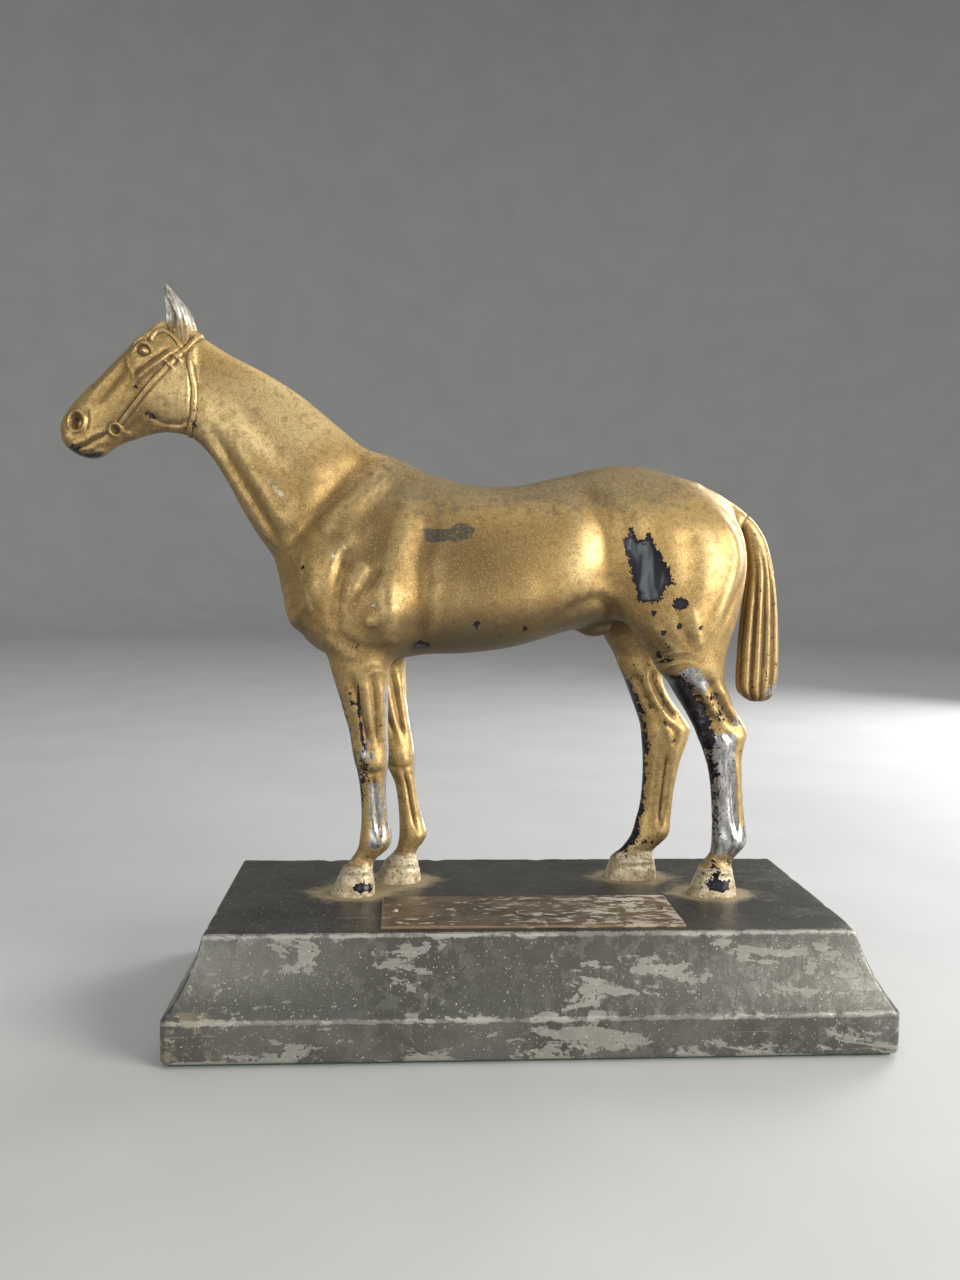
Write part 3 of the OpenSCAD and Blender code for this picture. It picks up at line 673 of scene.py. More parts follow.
def side_of(grid, sign, edge=1.5):
    """1 on one side of the median plane, 0 on the other."""
    return ease(np.clip(sign * grid.y / edge, 0, 1))[None, :, None]


def horse_field(grid):
    """Distance to the whole horse's surface but the tail and ears, negative inside."""
    field = np.full(grid.size, float(FAR))
    for stations, blend in LOFTS:
        found = grid.part(*bounds_of(stations))
        if found:
            where, inner = found
            field[where] = join(field[where], loft(inner, stations), blend)
    for centre, radii, blend in BALLS:
        low = np.array(centre) - radii - REACH
        found = grid.part(low, np.array(centre) + radii + REACH)
        if found:
            where, inner = found
            field[where] = join(field[where], ball(inner, centre, radii), blend)
    low, high = grid.lo, grid.lo + grid.step * np.array(grid.size)
    if high[2] > 118 and high[0] > -118:
        seen = SideView(grid, body_half_width(grid.x2))
        field -= strokes(seen, TORSO_MARKS)[:, None, :] * faded(grid, 7)
        field -= strokes(SideView(grid, 22), SEAM_MARKS)[:, None, :] * side_of(grid, -1)
        breast = np.exp(-((grid.y3 / 1.6) ** 2)) * np.clip((-78 - grid.x3) / 5, 0, 1)
        field += 1.6 * breast * np.clip((162 - grid.z3) / 8, 0, 1)
        spine = np.exp(-((grid.y3 / 2.0) ** 2)) * np.clip((grid.z3 - 180) / 5, 0, 1)
        field += 0.7 * spine * np.clip((grid.x3 + 30) / 20, 0, 1) * np.clip((62 - grid.x3) / 10, 0, 1)
    if low[2] < 135:
        for stations, marks, sign, drop in LEGS:
            found = grid.part(*bounds_of(stations))
            if found:
                where, inner = found
                below = np.clip((128 - inner.z2) / 8, 0, 1)
                carved = strokes(LegView(inner, stations, drop), marks) * below
                field[where] -= carved[:, None, :] * side_of(inner, sign)
    if low[0] < -114:
        near_head = np.clip((-113.5 - grid.x2) / 2, 0, 1)
        field -= (head_relief(SideView(grid, 8.5)) * near_head)[:, None, :]
    return field


# The seams: the head's plane behind the throatlash, and the heights where the legs meet the body.
HEAD_SEAM = ((-116.4, 240.2), (-119.2, 202.7))
FORE_SEAM_Z = 121
HIND_SEAM_Z = 126
SEAM_MARGIN = 5
# The samples' spacing is this times each casting's own, and its mesh is then relaxed a little.
SKIN = 1.0
SETTLE_ROUNDS = 2


class Points:
    """Surface points, in the stations' own places."""

    def __init__(self, vertices):
        self.x2, self.y, self.z2 = vertices.T


def patch(p, outline, soft):
    """A half on an outline, rising to 1.6 inside it and falling to 0 outside."""
    corners = np.array(outline, float)
    nearest = np.full(p.x2.shape, np.inf)
    inside = np.zeros(p.x2.shape, bool)
    for (ax, az), (bx, bz) in zip(corners, np.roll(corners, -1, axis=0), strict=True):
        ux, uz = bx - ax, bz - az
        t = np.clip(((p.x2 - ax) * ux + (p.z2 - az) * uz) / (ux * ux + uz * uz), 0, 1)
        nearest = np.minimum(nearest, np.hypot(p.x2 - ax - t * ux, p.z2 - az - t * uz))
        crosses = (az > p.z2) != (bz > p.z2)
        inside ^= crosses & (p.x2 < ax + (p.z2 - az) * ux / (uz if uz else 1e-9))
    return np.clip(0.5 + np.where(inside, nearest, -nearest) / soft, 0, 1.6)


def past_head_seam():
    """A point of the head's seam plane and its normal, towards the muzzle."""
    (tx, tz), (bx, bz) = HEAD_SEAM
    length = math.hypot(tx - bx, tz - bz)
    return (tx, 0, tz), (-(tz - bz) / length, 0, (tx - bx) / length)


def cut_off(piece, place, normal, among=None):
    """Cuts away what lies past a plane, among the faces asked for, and closes the cut flat."""
    work = bmesh.new()
    work.from_mesh(piece.data)
    faces = [f for f in work.faces if among is None or among(f.calc_center_median() / MM)]
    # Each edge and point once, in the faces' own order, so that every run gives the same mesh.
    edges = list(dict.fromkeys(e for f in faces for e in f.edges))
    points = list(dict.fromkeys(v for f in faces for v in f.verts))
    found = bmesh.ops.bisect_plane(work, geom=faces + edges + points, dist=1e-8, plane_no=normal, clear_outer=True,
                                   plane_co=(Vector(place) + Vector(SHIFT)) * MM)
    rim = [e for e in found["geom_cut"] if isinstance(e, bmesh.types.BMEdge)]
    for face in bmesh.ops.holes_fill(work, edges=rim, sides=0)["faces"]:
        face.smooth = False
    for edge in rim:
        edge.smooth = False
    bmesh.ops.recalc_face_normals(work, faces=work.faces[:])
    work.to_mesh(piece.data)
    work.free()


def casting(name, grid, field, material, replaced, stations=None):
    """Meshes a field and keeps at each point how hollow, worn, blackened and filmed its surface is, and the light
    and shade painted on it.
    """
    vertices, quads = surface_net(field, grid)
    edges = edges_of(quads)
    vertices = relaxed(vertices, edges, SETTLE_ROUNDS)
    slope = np.stack(np.gradient(field, grid.step), -1)
    cell = np.clip(((vertices - grid.lo) / grid.step).round().astype(int), 0, np.array(grid.size) - 1)
    normal = slope[tuple(cell.T)]
    normal /= np.linalg.norm(normal, axis=1)[:, None] + 1e-9
    fine_rounds, broad_rounds = int(1 / grid.step**2) + 2, int(8 / grid.step**2) + 4
    fine = relaxed(vertices, edges, fine_rounds)
    broad = relaxed(vertices, edges, broad_rounds)
    points = Points(vertices)
    values = {"hollow_fine": ((fine - vertices) * normal).sum(1),
              "hollow_broad": ((broad - vertices) * normal).sum(1),
              "up": normal[:, 2]}
    values.update(wear(points, stations))
    return mesh_piece(name, vertices + SHIFT, quads, material, replaced, values)


# ---------------------------------------------------------------- wear and painted light and shade, painted from the side
def band(values, low, high, soft):
    """1 between two values, fading to 0 over a soft edge."""
    rise = np.clip((values - low) / soft + 0.5, 0, 1)
    fall = np.clip((high - values) / soft + 0.5, 0, 1)
    return ease(rise) * ease(fall)


HAUNCH_PATCH = [
    (39.1, 174.8), (42.2, 169.9), (44.6, 170.4), (46.1, 174), (49.2, 168.3), (52.9, 162.4), (56.6, 154.3),
    (52.3, 151.2), (51, 147.6), (48.5, 146.5), (41.5, 147.2), (42.7, 150.3), (40.5, 153.7), (39.9, 159.6),
    (36.4, 169.2)]
GASKIN_PATCH = [
    (58.9, 120.6), (62.8, 122.6), (66.8, 122), (70.4, 116.4), (69.2, 112.4), (65.6, 114.8), (59.6, 116)]
RIB_PATCHES = ([(-37.4, 173), (-29.6, 172.6), (-29.4, 168.8), (-37, 168.4)],
               [(-29.6, 170.8), (-27, 174), (-23.6, 175), (-19, 173.7), (-20.6, 170.2), (-26, 168.7)])


def body_wear(points):
    """Where the body's paint has gone, to black, silver or cream, where it is filmed grey or dark olive, and where
    light and shade are painted on it.
    """
    near = np.clip(0.5 - points.y / 4, 0, 1)
    p = SideView(points, np.abs(points.y))
    black = patch(p, HAUNCH_PATCH, 3.2)
    black += strokes(p, [
        ((59.4, 146.2), (2.4, 2.2), 1.15), ((56.8, 147.4), (1.6, 1.2), 0.5),
        ((-38, 130), (3.4, 1.6), 1.1), ((-24, 128.5), (5, 1.5), 0.4)])
    for place in ((48.6, 143), (52.3, 135.7), (58.7, 138.4), (66.7, 137.6), (-17.8, 138.6),
                  (-10.9, 137.6), (0.2, 136.9)):
        black += mound(p, place, (1.3, 1.3), 0.75)
    black += strokes(p, [
        ((-10, 133), (24, 5), 0.22), ((52, 133), (9, 8), 0.24), ((-57, 145), (7, 6), 0.24),
        ((53, 125), (6, 4), 0.5), ((-82, 158), (1.4, 2.2), 0.55), ((-66, 128), (9, 4), 0.3)])
    grey = sum(patch(p, outline, 2.2) for outline in RIB_PATCHES)
    grey += strokes(p, [((-27, 171.5), (13, 5), 0.25), ((36, 178), (3, 7), 0.3)])
    far = strokes(p, [
        ((40, 165), (9, 12), 0.62), ((-50, 172), (14, 9), 0.4), ((-5, 150), (25, 12), 0.3),
        ((-98, 205), (9, 9), 0.36)])
    bare = mound(p, (-56, 144.5), (2.2, 2), 0.45)
    pale = patch(p, [(-96.4, 192), (-93, 190), (-88.4, 184.4), (-86, 180.2), (-87.6, 180),
                     (-92.6, 185.4)], 1.6) * 0.62
    pale += strokes(p, [
        ((-70.8, 162.8), (0.9, 1), 1.0), ((-66.6, 165.9), (0.8, 1), 1.0),
        ([(-80.9, 164.5), (-82.4, 157.6), (-80.4, 149.7), (-77.6, 140)], 0.8, 0.42)])
    pale += band(p.x2, 0, 14, 14) * band(p.z2, 127, 133, 3) * 0.4
    # A dark olive film over the back, darkest at the top and partly painted shade, and painted shade under the
    # belly, in front of the stifle and on the shoulder.
    back = band(p.x2, -54, 62, 30) * np.clip((p.z2 - 174) / 14, 0, 1)
    back += strokes(p, [
        ((-34, 171), (16, 10), 0.3), ((-18, 136), (12, 10), 0.35), ((21, 140), (12, 6.5), 0.7),
        ((-8, 131), (48, 7), 0.8), ((-60, 163), (15, 24), 0.3)])
    # Painted light and shade: a painted highlight on the upper neck, the flank and the haunch's rear, painted
    # shade on the ribs, belly, shoulder and the hollow in front of the stifle.
    tone = strokes(p, [((-94, 213), (27, 14), 1.3), ((20, 161), (9, 14), 0.6), ((68, 165), (9, 20), 0.3)])
    tone -= strokes(p, [
        ((-24, 158), (26, 20), 0.75), ((-8, 132), (52, 10), 1.4), ((-64, 177), (13, 17), 1.1),
        ((20, 139), (13, 7), 1.3), ((48, 138), (13, 11), 0.2), ((-62, 146), (10, 12), 0.5)])
    return {"black": black * near + far * (1 - near), "bare": bare * near, "pale": pale * near,
            "grey": grey * near, "soot": back, "tone": tone}


def head_wear(points):
    near = np.clip(0.5 - points.y / 4, 0, 1)
    p = SideView(points, np.abs(points.y))
    black = strokes(p, [
        ((-163.4, 199.4), (3, 1.8), 0.75), ((-163, 209.6), (2, 2.6), 0.5),
        ((-157.5, 197), (5, 1.5), 0.72), ((-120.6, 208.5), (2, 3), 0.5),
        ((-141.6, 221.6), (1.3, 1.1), 0.6), ((-120.9, 213.8), (1, 1.2), 0.6),
        ((-137.6, 212.7), (2.2, 1.3), 0.66), ((-134.4, 211.4), (1.5, 1.3), 0.7),
        ((-150, 202), (7, 3), 0.28)])
    pale = ridge(p, [(-142, 223), (-137, 226), (-130, 231)], 1.1, 0.3)
    bare = strokes(p, [
        ((-150, 206.8), (3, 3), 0.35), ((-160, 198), (5, 2.4), 0.33), ((-133, 243), (4, 2.4), 0.34)])
    # Painted light and shade: a painted highlight on the jaw and the throat behind it, painted shade on the face
    # and the lower muzzle.
    tone = strokes(p, [((-128, 218), (9, 9), 1.2), ((-122, 225), (6, 14), 0.6)])
    tone -= strokes(p, [((-142, 214), (9, 9), 0.6), ((-158, 198), (8, 4), 0.6)])
    zero = np.zeros_like(p.x2)
    return {"black": black, "bare": bare, "pale": pale * near, "grey": zero, "soot": zero, "tone": tone}


def leg_wear(points, stations):
    """Worn legs: across runs from 1 on the front edge to -1 on the back edge."""
    across = side_map(points, stations, 4)[1]
    p = SideView(points, np.abs(points.y))
    z = points.z2
    zero = np.zeros_like(z)
    near = np.clip(0.5 - (points.y - stations[10][5]) / 3, 0, 1)
    black = 0.13 * band(z, 52, 126, 8)
    # Bare silver down the back edge: rubbed metal, which also serves as a painted highlight along that edge.
    back_edge = band(across, -9, -0.84, 0.2)
    if stations is HIND_LEFT:
        black += band(across, 0.42, 9, 0.6) * band(z, 96, 121, 5) * 0.75
        black += band(across, 0.6, 9, 0.7) * band(z, 60, 97, 5) * 0.34
        black += mound(p, (55.5, 117), (5, 5.5), 0.4) + mound(p, (72, 84), (1.2, 8), 0.4)
        black += band(across, -0.55, 0.5, 0.4) * band(z, 104, 116, 4) * 0.25
        black += band(z, 46, 53, 3) * 0.3
        bare = patch(p, GASKIN_PATCH, 2.6) * near
        bare += band(across, -0.45, 9, 0.4) * band(z, 60, 101, 6) * 0.85
        bare += band(z, 54, 66, 4) * 0.72 + mound(p, (81.5, 102), (2.2, 2.4), 0.7)
        bare += back_edge * band(z, 58, 98, 4) * 0.7
    elif stations is FORE_LEFT:
        black += ridge(p, [(-61.4, 117), (-60.8, 104), (-59.8, 96), (-59, 91)], 0.7, 0.62)
        black += ridge(p, [(-64.5, 118), (-63.5, 106), (-62.4, 97)], 0.8, 0.3)
        black += band(across, 0.85, 9, 0.3) * band(z, 66, 118, 6) * 0.4
        black += mound(p, (-59.6, 82), (2.8, 8), 0.5)
        black += band(z, 52.5, 56, 2) * 0.2
        bare = mound(p, (-58, 90), (4.4, 5), 0.66)
        bare += band(across, -0.75, 0.45, 0.5) * band(z, 56, 82, 5) * 0.66
        bare += back_edge * band(z, 57, 118, 6) * 0.8
    elif stations is HIND_RIGHT:
        black += band(across, 0.8, 9, 0.4) * band(z, 50, 119, 8) * 0.55 + band(z, 46, 57, 4) * 0.3
        black += band(z, 104, 128, 6) * 0.12 + ridge(p, [(57, 104), (57.6, 99), (57, 94)], 1.6, 0.3)
        bare = band(across, 0.9, 9, 0.3) * band(z, 62, 100, 6) * 0.5
    else:
        black += ridge(p, [(-46, 78), (-46.5, 72), (-46.5, 66)], 0.8, 0.4) - 0.1
        bare = back_edge * band(z, 55, 112, 8) * 0.72
    pale = band(z, 0, 49.5, 2.5) * 0.9 + band(z, 49, 54, 4) * 0.42
    hoof = mound(p, (-59, 38.6), (4.6, 1.9), 1.25) + mound(p, (76.4, 38.8), (4.4, 2.6), 1.25)
    black = black * (1 - 0.5 * band(z, 0, 45, 2)) + hoof * near
    # The legs carry an even, slight painted highlight.
    return {"black": black, "bare": bare * (1 - band(z, 0, 49, 2)), "pale": pale,
            "grey": zero, "soot": zero, "tone": zero + 0.1}


def wear(points, stations):
    """The worn places of a casting, by the stations that it is made from."""
    if stations is HEAD:
        return head_wear(points)
    if stations is TRUNK:
        return body_wear(points)
    zero = np.zeros_like(points.x2)
    # Even painted shade on parts without wear marks.
    clean = {"black": zero, "bare": zero, "pale": zero, "grey": zero, "soot": zero, "tone": zero - 0.5}
    if stations is TAIL:
        clean["black"] = zero + 0.2
        # Deeper painted shade on the tail.
        clean["tone"] = zero - 0.75
        clean["bare"] = strokes(points, [((94, 114), (4, 4.5), 0.7), ((82, 112.5), (2.5, 2.5), 0.55)])
        return clean
    return leg_wear(points, stations) if stations else clean


# ---------------------------------------------------------------- materials
class Value:
    """A node's output. A sum, a difference or a product of values is a Math node."""

    def __init__(self, paint, socket):
        self.paint = paint
        self.socket = socket

    def __add__(self, other):
        return self.paint.maths("ADD", self, other)

    def __sub__(self, other):
        return self.paint.maths("SUBTRACT", self, other)

    def __rsub__(self, other):
        return self.paint.maths("SUBTRACT", other, self)

    def __mul__(self, other):
        return self.paint.maths("MULTIPLY", self, other)


class Paint:
    """Short calls that build one material's nodes. Coordinates are the object's own, in millimetres."""

    def __init__(self, name, metallic=0.0, roughness=0.5):
        self.material = bpy.data.materials.new(name)
        self.material.use_nodes = True
        self.tree = self.material.node_tree
        self.shader = self.tree.nodes["Principled BSDF"]
        self.shader.inputs["Metallic"].default_value = metallic
        self.shader.inputs["Roughness"].default_value = roughness
        self.mm = self.vector("SCALE", self.node("TexCoord", "Object", {}), scale=1 / MM)

    def put(self, item, socket):
        """Links a value to a socket, or sets a number or a colour there. None leaves it alone."""
        if isinstance(item, Value):
            self.tree.links.new(item.socket, socket)
        elif item is not None:
            socket.default_value = (*item, 1) if socket.type == "RGBA" else item

    def node(self, kind, output, inputs, **settings):
        """The value that a new node gives from its inputs."""
        node = self.tree.nodes.new("ShaderNode" + kind)
        for name, setting in settings.items():
            setattr(node, name, setting)
        for socket, item in inputs.items():
            self.put(item, node.inputs[socket])
        return Value(self, node.outputs[output])

    def vector(self, operation, a, b=None, scale=None):
        return self.node("VectorMath", 0, {0: a, 1: b, 3: scale}, operation=operation)

    def stretched(self, factors):
        return self.vector("MULTIPLY", self.mm, factors)

    def turned(self, degrees, factors):
        turns = [math.radians(d) for d in degrees]
        return self.node("Mapping", 0, {"Rotation": turns, "Scale": factors, "Vector": self.mm})

    def noise(self, size, detail=2.0, rough=0.5, where=None, twist=0.0):
        """Noise with features about this many millimetres across."""
        return self.node("TexNoise", "Fac", {"Scale": 1 / size, "Detail": detail, "Roughness": rough,
                                             "Distortion": twist, "Vector": where or self.mm})

    def maths(self, operation, a, b=None, clamp=False):
        return self.node("Math", 0, {0: a, 1: b}, operation=operation, use_clamp=clamp)

    def step(self, value, low, high, out_low=0.0, out_high=1.0):
        """Smooth rise of a value from one limit to another."""
        return self.node("MapRange", "Result", {"Value": value, "From Min": low, "From Max": high,
                                                "To Min": out_low, "To Max": out_high},
                         interpolation_type="SMOOTHSTEP")

    def mix(self, share, a, b):
        """A colour from a to b."""
        return self.node("Mix", 2, {"Factor": share, 6: a, 7: b}, data_type="RGBA")

    def tint(self, colour, over, most, value, low, high):
        """A colour that goes towards another, up to a share, as a value rises from low to high."""
        return self.mix(self.step(value, low, high, 0, most), colour, over)

    def between(self, share, a, b):
        """A number from a to b."""
        return self.node("Mix", 0, {0: share, 2: a, 3: b}, data_type="FLOAT")

    def attribute(self, name):
        return self.node("Attribute", "Fac", {}, attribute_name=name)

    def axis(self, number):
        """The place along X, Y or Z (0 to 2)."""
        return self.node("SeparateXYZ", number, {0: self.mm})

    def bump(self, height, distance, strength=1.0):
        inputs = {"Distance": distance * MM, "Strength": strength, "Height": height}
        self.put(self.node("Bump", "Normal", inputs), self.shader.inputs["Normal"])

    def finish(self, colour=None, metallic=None, roughness=None):
        self.put(colour, self.shader.inputs["Base Color"])
        self.put(metallic, self.shader.inputs["Metallic"])
        self.put(roughness, self.shader.inputs["Roughness"])
        return self.material


def ragged(p, tendency, coarse, fine, soft=0.04):
    """A hard, ragged edge where a soft tendency passes a half, with flecks on both sides."""
    jagged = coarse * 1.5 + fine
    total = tendency + (jagged - 1.25)
    return p.step(total, 0.5 - soft, 0.5 + soft), total


def gilt_paint():
    """Gold paint over white metal: brown in its hollows, partly as painted shade, with painted light and shade
    over it and painted shade underneath, chipped to black, silver or cream where worn.
    """
    p = Paint("gilt_paint")
    grain, sand, cloud = p.noise(0.42, 2, 0.6), p.noise(0.6, 2, 0.7), p.noise(22, 3, 0.55)
    mottle, flake = p.noise(3.2, 5, 0.62), p.noise(1.1, 3, 0.6)
    chip_coarse, chip_fine = p.noise(3.6, 3, 0.6, twist=0.6), p.noise(0.9, 2, 0.6)
    streaks = p.noise(1.3, 3, 0.6, where=p.stretched((1, 1, 0.25)))
    hollow, crease = p.attribute("hollow_broad"), p.attribute("hollow_fine")

    # Painted light and shade: lighter gold as a painted highlight where it rises, dark brown as painted shade
    # where it falls, with the broad cloud's random colour changes on top.
    tone = p.attribute("tone") + (cloud - 0.5)
    gold = p.mix(p.step(cloud, 0.35, 0.65), (0.5, 0.33, 0.12), (0.42, 0.265, 0.09))
    gold = p.tint(gold, (0.76, 0.57, 0.27), 0.9, tone, 0, 0.8)
    gold = p.tint(gold, (0.19, 0.12, 0.045), 0.85, tone, 0, -0.8)
    # Lighter gold on raised parts: rubbed paint, partly a painted highlight.
    gold = p.tint(gold, (0.62, 0.45, 0.2), 0.6, hollow, 0.02, -0.16)
    gold = p.tint(gold, (0.25, 0.15, 0.052), 0.5, mottle, 0.48, 0.66)
    gold = p.tint(gold, (0.19, 0.115, 0.042), 0.45, sand, 0.52, 0.66)
    gold = p.tint(gold, (0.78, 0.62, 0.33), 0.35, sand, 0.45, 0.33)
    gold = p.tint(gold, (0.17, 0.1, 0.036), 0.5, grain, 0.52, 0.66)

    # Painted shade on faces that look down, with the brown in hollows and creases, which is partly grime and
    # partly painted shade: all go dark brown and matt.
    under = p.step(p.attribute("up"), 0, -0.75, 0, 0.9)
    deep = p.step(hollow, 0.1, 0.62) + p.step(crease, 0.025, 0.11) + under
    deep = p.maths("MULTIPLY", deep, p.step(mottle, 0.25, 0.6, 0.7, 1.1), clamp=True)
    gold = p.mix(deep * 0.86, gold, (0.085, 0.05, 0.02))

    # The back's dark olive film and the painted shade under the belly and on the shoulder, mottled and flecked.
    soot = p.attribute("soot") + (mottle - 0.5)
    soot = p.step(soot, 0.1, 0.95) * p.step(p.attribute("soot"), 0.0, 0.12)
    soot_and_shade_mask = soot * p.step(flake, 0.3, 0.62, 0.6, 1.0)
    gold = p.mix(soot_and_shade_mask * 0.78, gold, (0.11, 0.092, 0.05))
    pits = p.step(flake, 0.66, 0.71) * p.step(cloud, 0.42, 0.6)
    gold = p.mix(pits * 0.7, gold, (0.07, 0.04, 0.02))

    black_mask, black_total = ragged(p, p.attribute("black"), chip_coarse, chip_fine)
    silver_mask, _ = ragged(p, p.attribute("bare"), streaks, chip_fine)
    pale_mask, _ = ragged(p, p.attribute("pale"), chip_fine, chip_coarse, 0.12)

    # Painted reflection: the black patches' cores get grey-green streaks laid along the patch, while their edges
    # stay matt black.
    core = p.step(black_total, 0.75, 1.35)
    painted_sheen = p.noise(7, 2, 0.5, where=p.turned((0, -17, 0), (1.5, 1, 0.35)))
    dark = p.mix(p.step(painted_sheen, 0.4, 0.6), (0.028, 0.03, 0.038), (0.16, 0.185, 0.19))
    matt_black = p.mix(p.step(chip_fine, 0.4, 0.6), (0.03, 0.017, 0.03), (0.014, 0.012, 0.014))
    dark = p.mix(core, matt_black, dark)
    silver = p.mix(p.step(streaks, 0.35, 0.65), (0.64, 0.625, 0.6), (0.3, 0.3, 0.305))
    silver = p.tint(silver, (0.06, 0.06, 0.065), 0.75, chip_fine, 0.58, 0.67)
    cream = p.mix(p.step(mottle, 0.4, 0.62), (0.68, 0.6, 0.43), (0.44, 0.34, 0.19))
    cream = p.tint(cream, (0.06, 0.05, 0.045), 0.8, chip_fine, 0.57, 0.64)

    film = p.step(p.attribute("grey") + (mottle - 0.5), 0.4, 0.62)
    film = film * p.step(chip_fine, 0.62, 0.52, 0.35, 0.9)
    gold = p.mix(film, gold, (0.088, 0.085, 0.07))
    colour = p.mix(pale_mask, gold, cream)
    colour = p.mix(silver_mask, colour, silver)
    colour = p.mix(black_mask, colour, dark)

    rough, metal = p.between(p.step(mottle, 0.3, 0.7), 0.42, 0.52), 0.74
    for mask, its_rough, its_metal in ((deep, 0.62, 0.3), (soot_and_shade_mask, 0.6, 0.4), (pale_mask, 0.5, 0.35),
                                       (silver_mask, 0.28, 0.95), (black_mask, 0.3, 0.55)):
        rough = p.between(mask, rough, its_rough)
        metal = p.between(mask, metal, its_metal)

    gone = p.maths("ADD", black_mask, silver_mask, clamp=True)
    p.bump(sand * 0.35 - gone * 0.5 + flake * 0.35, 0.16, 0.8)
    return p.finish(colour, metal, rough)


def bare_metal():
    """The ears, rubbed back to silvery white metal at their tips and still gilt at their roots."""
    p = Paint("bare_metal")
    cloud, grain = p.noise(2.4, 4, 0.6), p.noise(0.5, 2, 0.6)
    hairs = p.noise(0.9, 2, 0.5, where=p.turned((0, -22, 0), (1, 1, 0.14)))
    crease = p.attribute("hollow_fine")
    root = p.step(p.axis(2), 250 + SHIFT[2], 239 + SHIFT[2]) + (cloud - 0.5)
    colour = p.mix(p.step(cloud, 0.4, 0.62), (0.62, 0.59, 0.52), (0.4, 0.36, 0.29))
    colour = p.tint(colour, (0.42, 0.29, 0.12), 0.85, root, 0.2, 0.9)
    colour = p.tint(colour, (0.14, 0.115, 0.075), 0.55, hairs, 0.54, 0.62)
    # The creases go near black with grime and painted shade, and the cup's hollow is darkened as painted shade.
    colour = p.tint(colour, (0.06, 0.045, 0.03), 0.9, crease, 0.02, 0.11)
    colour = p.tint(colour, (0.05, 0.04, 0.026), 0.85, p.attribute("hollow_broad"), 0.12, 0.5)
    colour = p.tint(colour, (0.08, 0.075, 0.07), 0.7, grain, 0.63, 0.7)
    rough = p.between(p.step(cloud, 0.35, 0.65), 0.4, 0.55)
    p.bump(hairs + cloud, 0.12, 0.7)
    return p.finish(colour, p.step(crease, 0.02, 0.11, 0.8, 0.3), rough)


def base_casting():
    """Dark cast metal with pale, hard-edged blotches, scratches and specks, rubbed bright on its edges."""
    p = Paint("base_casting")
    x, z = p.axis(0), p.axis(2)
    cloud, grain = p.noise(30, 4, 0.6), p.noise(0.5, 3, 0.6)
    blotch = p.noise(17, 7, 0.66, where=p.stretched((0.55, 0.8, 1.5)), twist=0.8)
    flake, speck = p.noise(4.5, 5, 0.68), p.noise(0.6, 1.5, 0.5)
    scratch = p.noise(5, 3, 0.6, where=p.turned((0, 24, 35), (0.05, 5, 5)))
    scuff = p.noise(6, 3, 0.6, where=p.turned((0, -38, -20), (0.06, 4, 4)))
    edge, dirt = p.attribute("edge"), p.attribute("dirt")
    top = p.step(p.attribute("top"), 0.4, 0.6)

    colour = p.mix(p.step(cloud, 0.36, 0.64), (0.19, 0.187, 0.162), (0.115, 0.112, 0.096))
    colour = p.tint(colour, (0.22, 0.217, 0.19), 0.5, flake, 0.5, 0.56)
    crust = blotch + (flake - 0.5) * 0.4 + edge * 0.07
    crust = p.step(crust, 0.565, 0.58) * (1.0 - top * 0.86)
    pale = p.mix(p.step(flake, 0.42, 0.6), (0.37, 0.365, 0.305), (0.27, 0.27, 0.225))
    colour = p.mix(crust * 0.62, colour, pale)
    colour = p.mix(top * 0.7, colour, (0.066, 0.06, 0.05))
    lines = p.maths("ADD", p.step(scratch, 0.7, 0.73), p.step(scuff, 0.72, 0.75), clamp=True)
    colour = p.mix(lines * 0.55, colour, (0.36, 0.35, 0.31))
    worn = edge + (flake - 0.5) * 1.8
    worn = p.step(worn, 0.6, 0.95) * p.step(edge, 0.1, 0.5)
    colour = p.mix(worn * 0.62, colour, (0.4, 0.385, 0.335))
    tan = p.step(x, -98, -112) * p.step(z, 26, 12) * p.step(flake, 0.47, 0.55)
    colour = p.mix(tan * 0.7, colour, (0.34, 0.29, 0.2))
    dust = p.attribute("overspray") + (flake - 0.5) * 0.9
    dust = p.step(dust, 0.25, 0.9) * p.step(grain, 0.3, 0.6, 0.5, 1)
    colour = p.mix(dust * 0.85, colour, (0.42, 0.33, 0.18))
    specks = p.step(speck, 0.7, 0.725)
    colour = p.mix(specks * 0.9, colour, (0.62, 0.59, 0.52))
    # The inside under the roof is made nearly black.
    colour = p.mix(dirt * 0.5, colour, (0.03, 0.028, 0.022))

    matt = p.maths("ADD", crust, specks + dust, clamp=True)
    rough = p.between(matt, p.between(p.step(cloud, 0.35, 0.65), 0.3, 0.42), 0.62)
    metal = p.between(matt, 0.78, 0.25)
    p.bump(crust * 0.5 + grain * 0.3 - lines * 0.6 + flake * 0.7, 0.22, 0.8)
    return p.finish(colour, metal, rough)


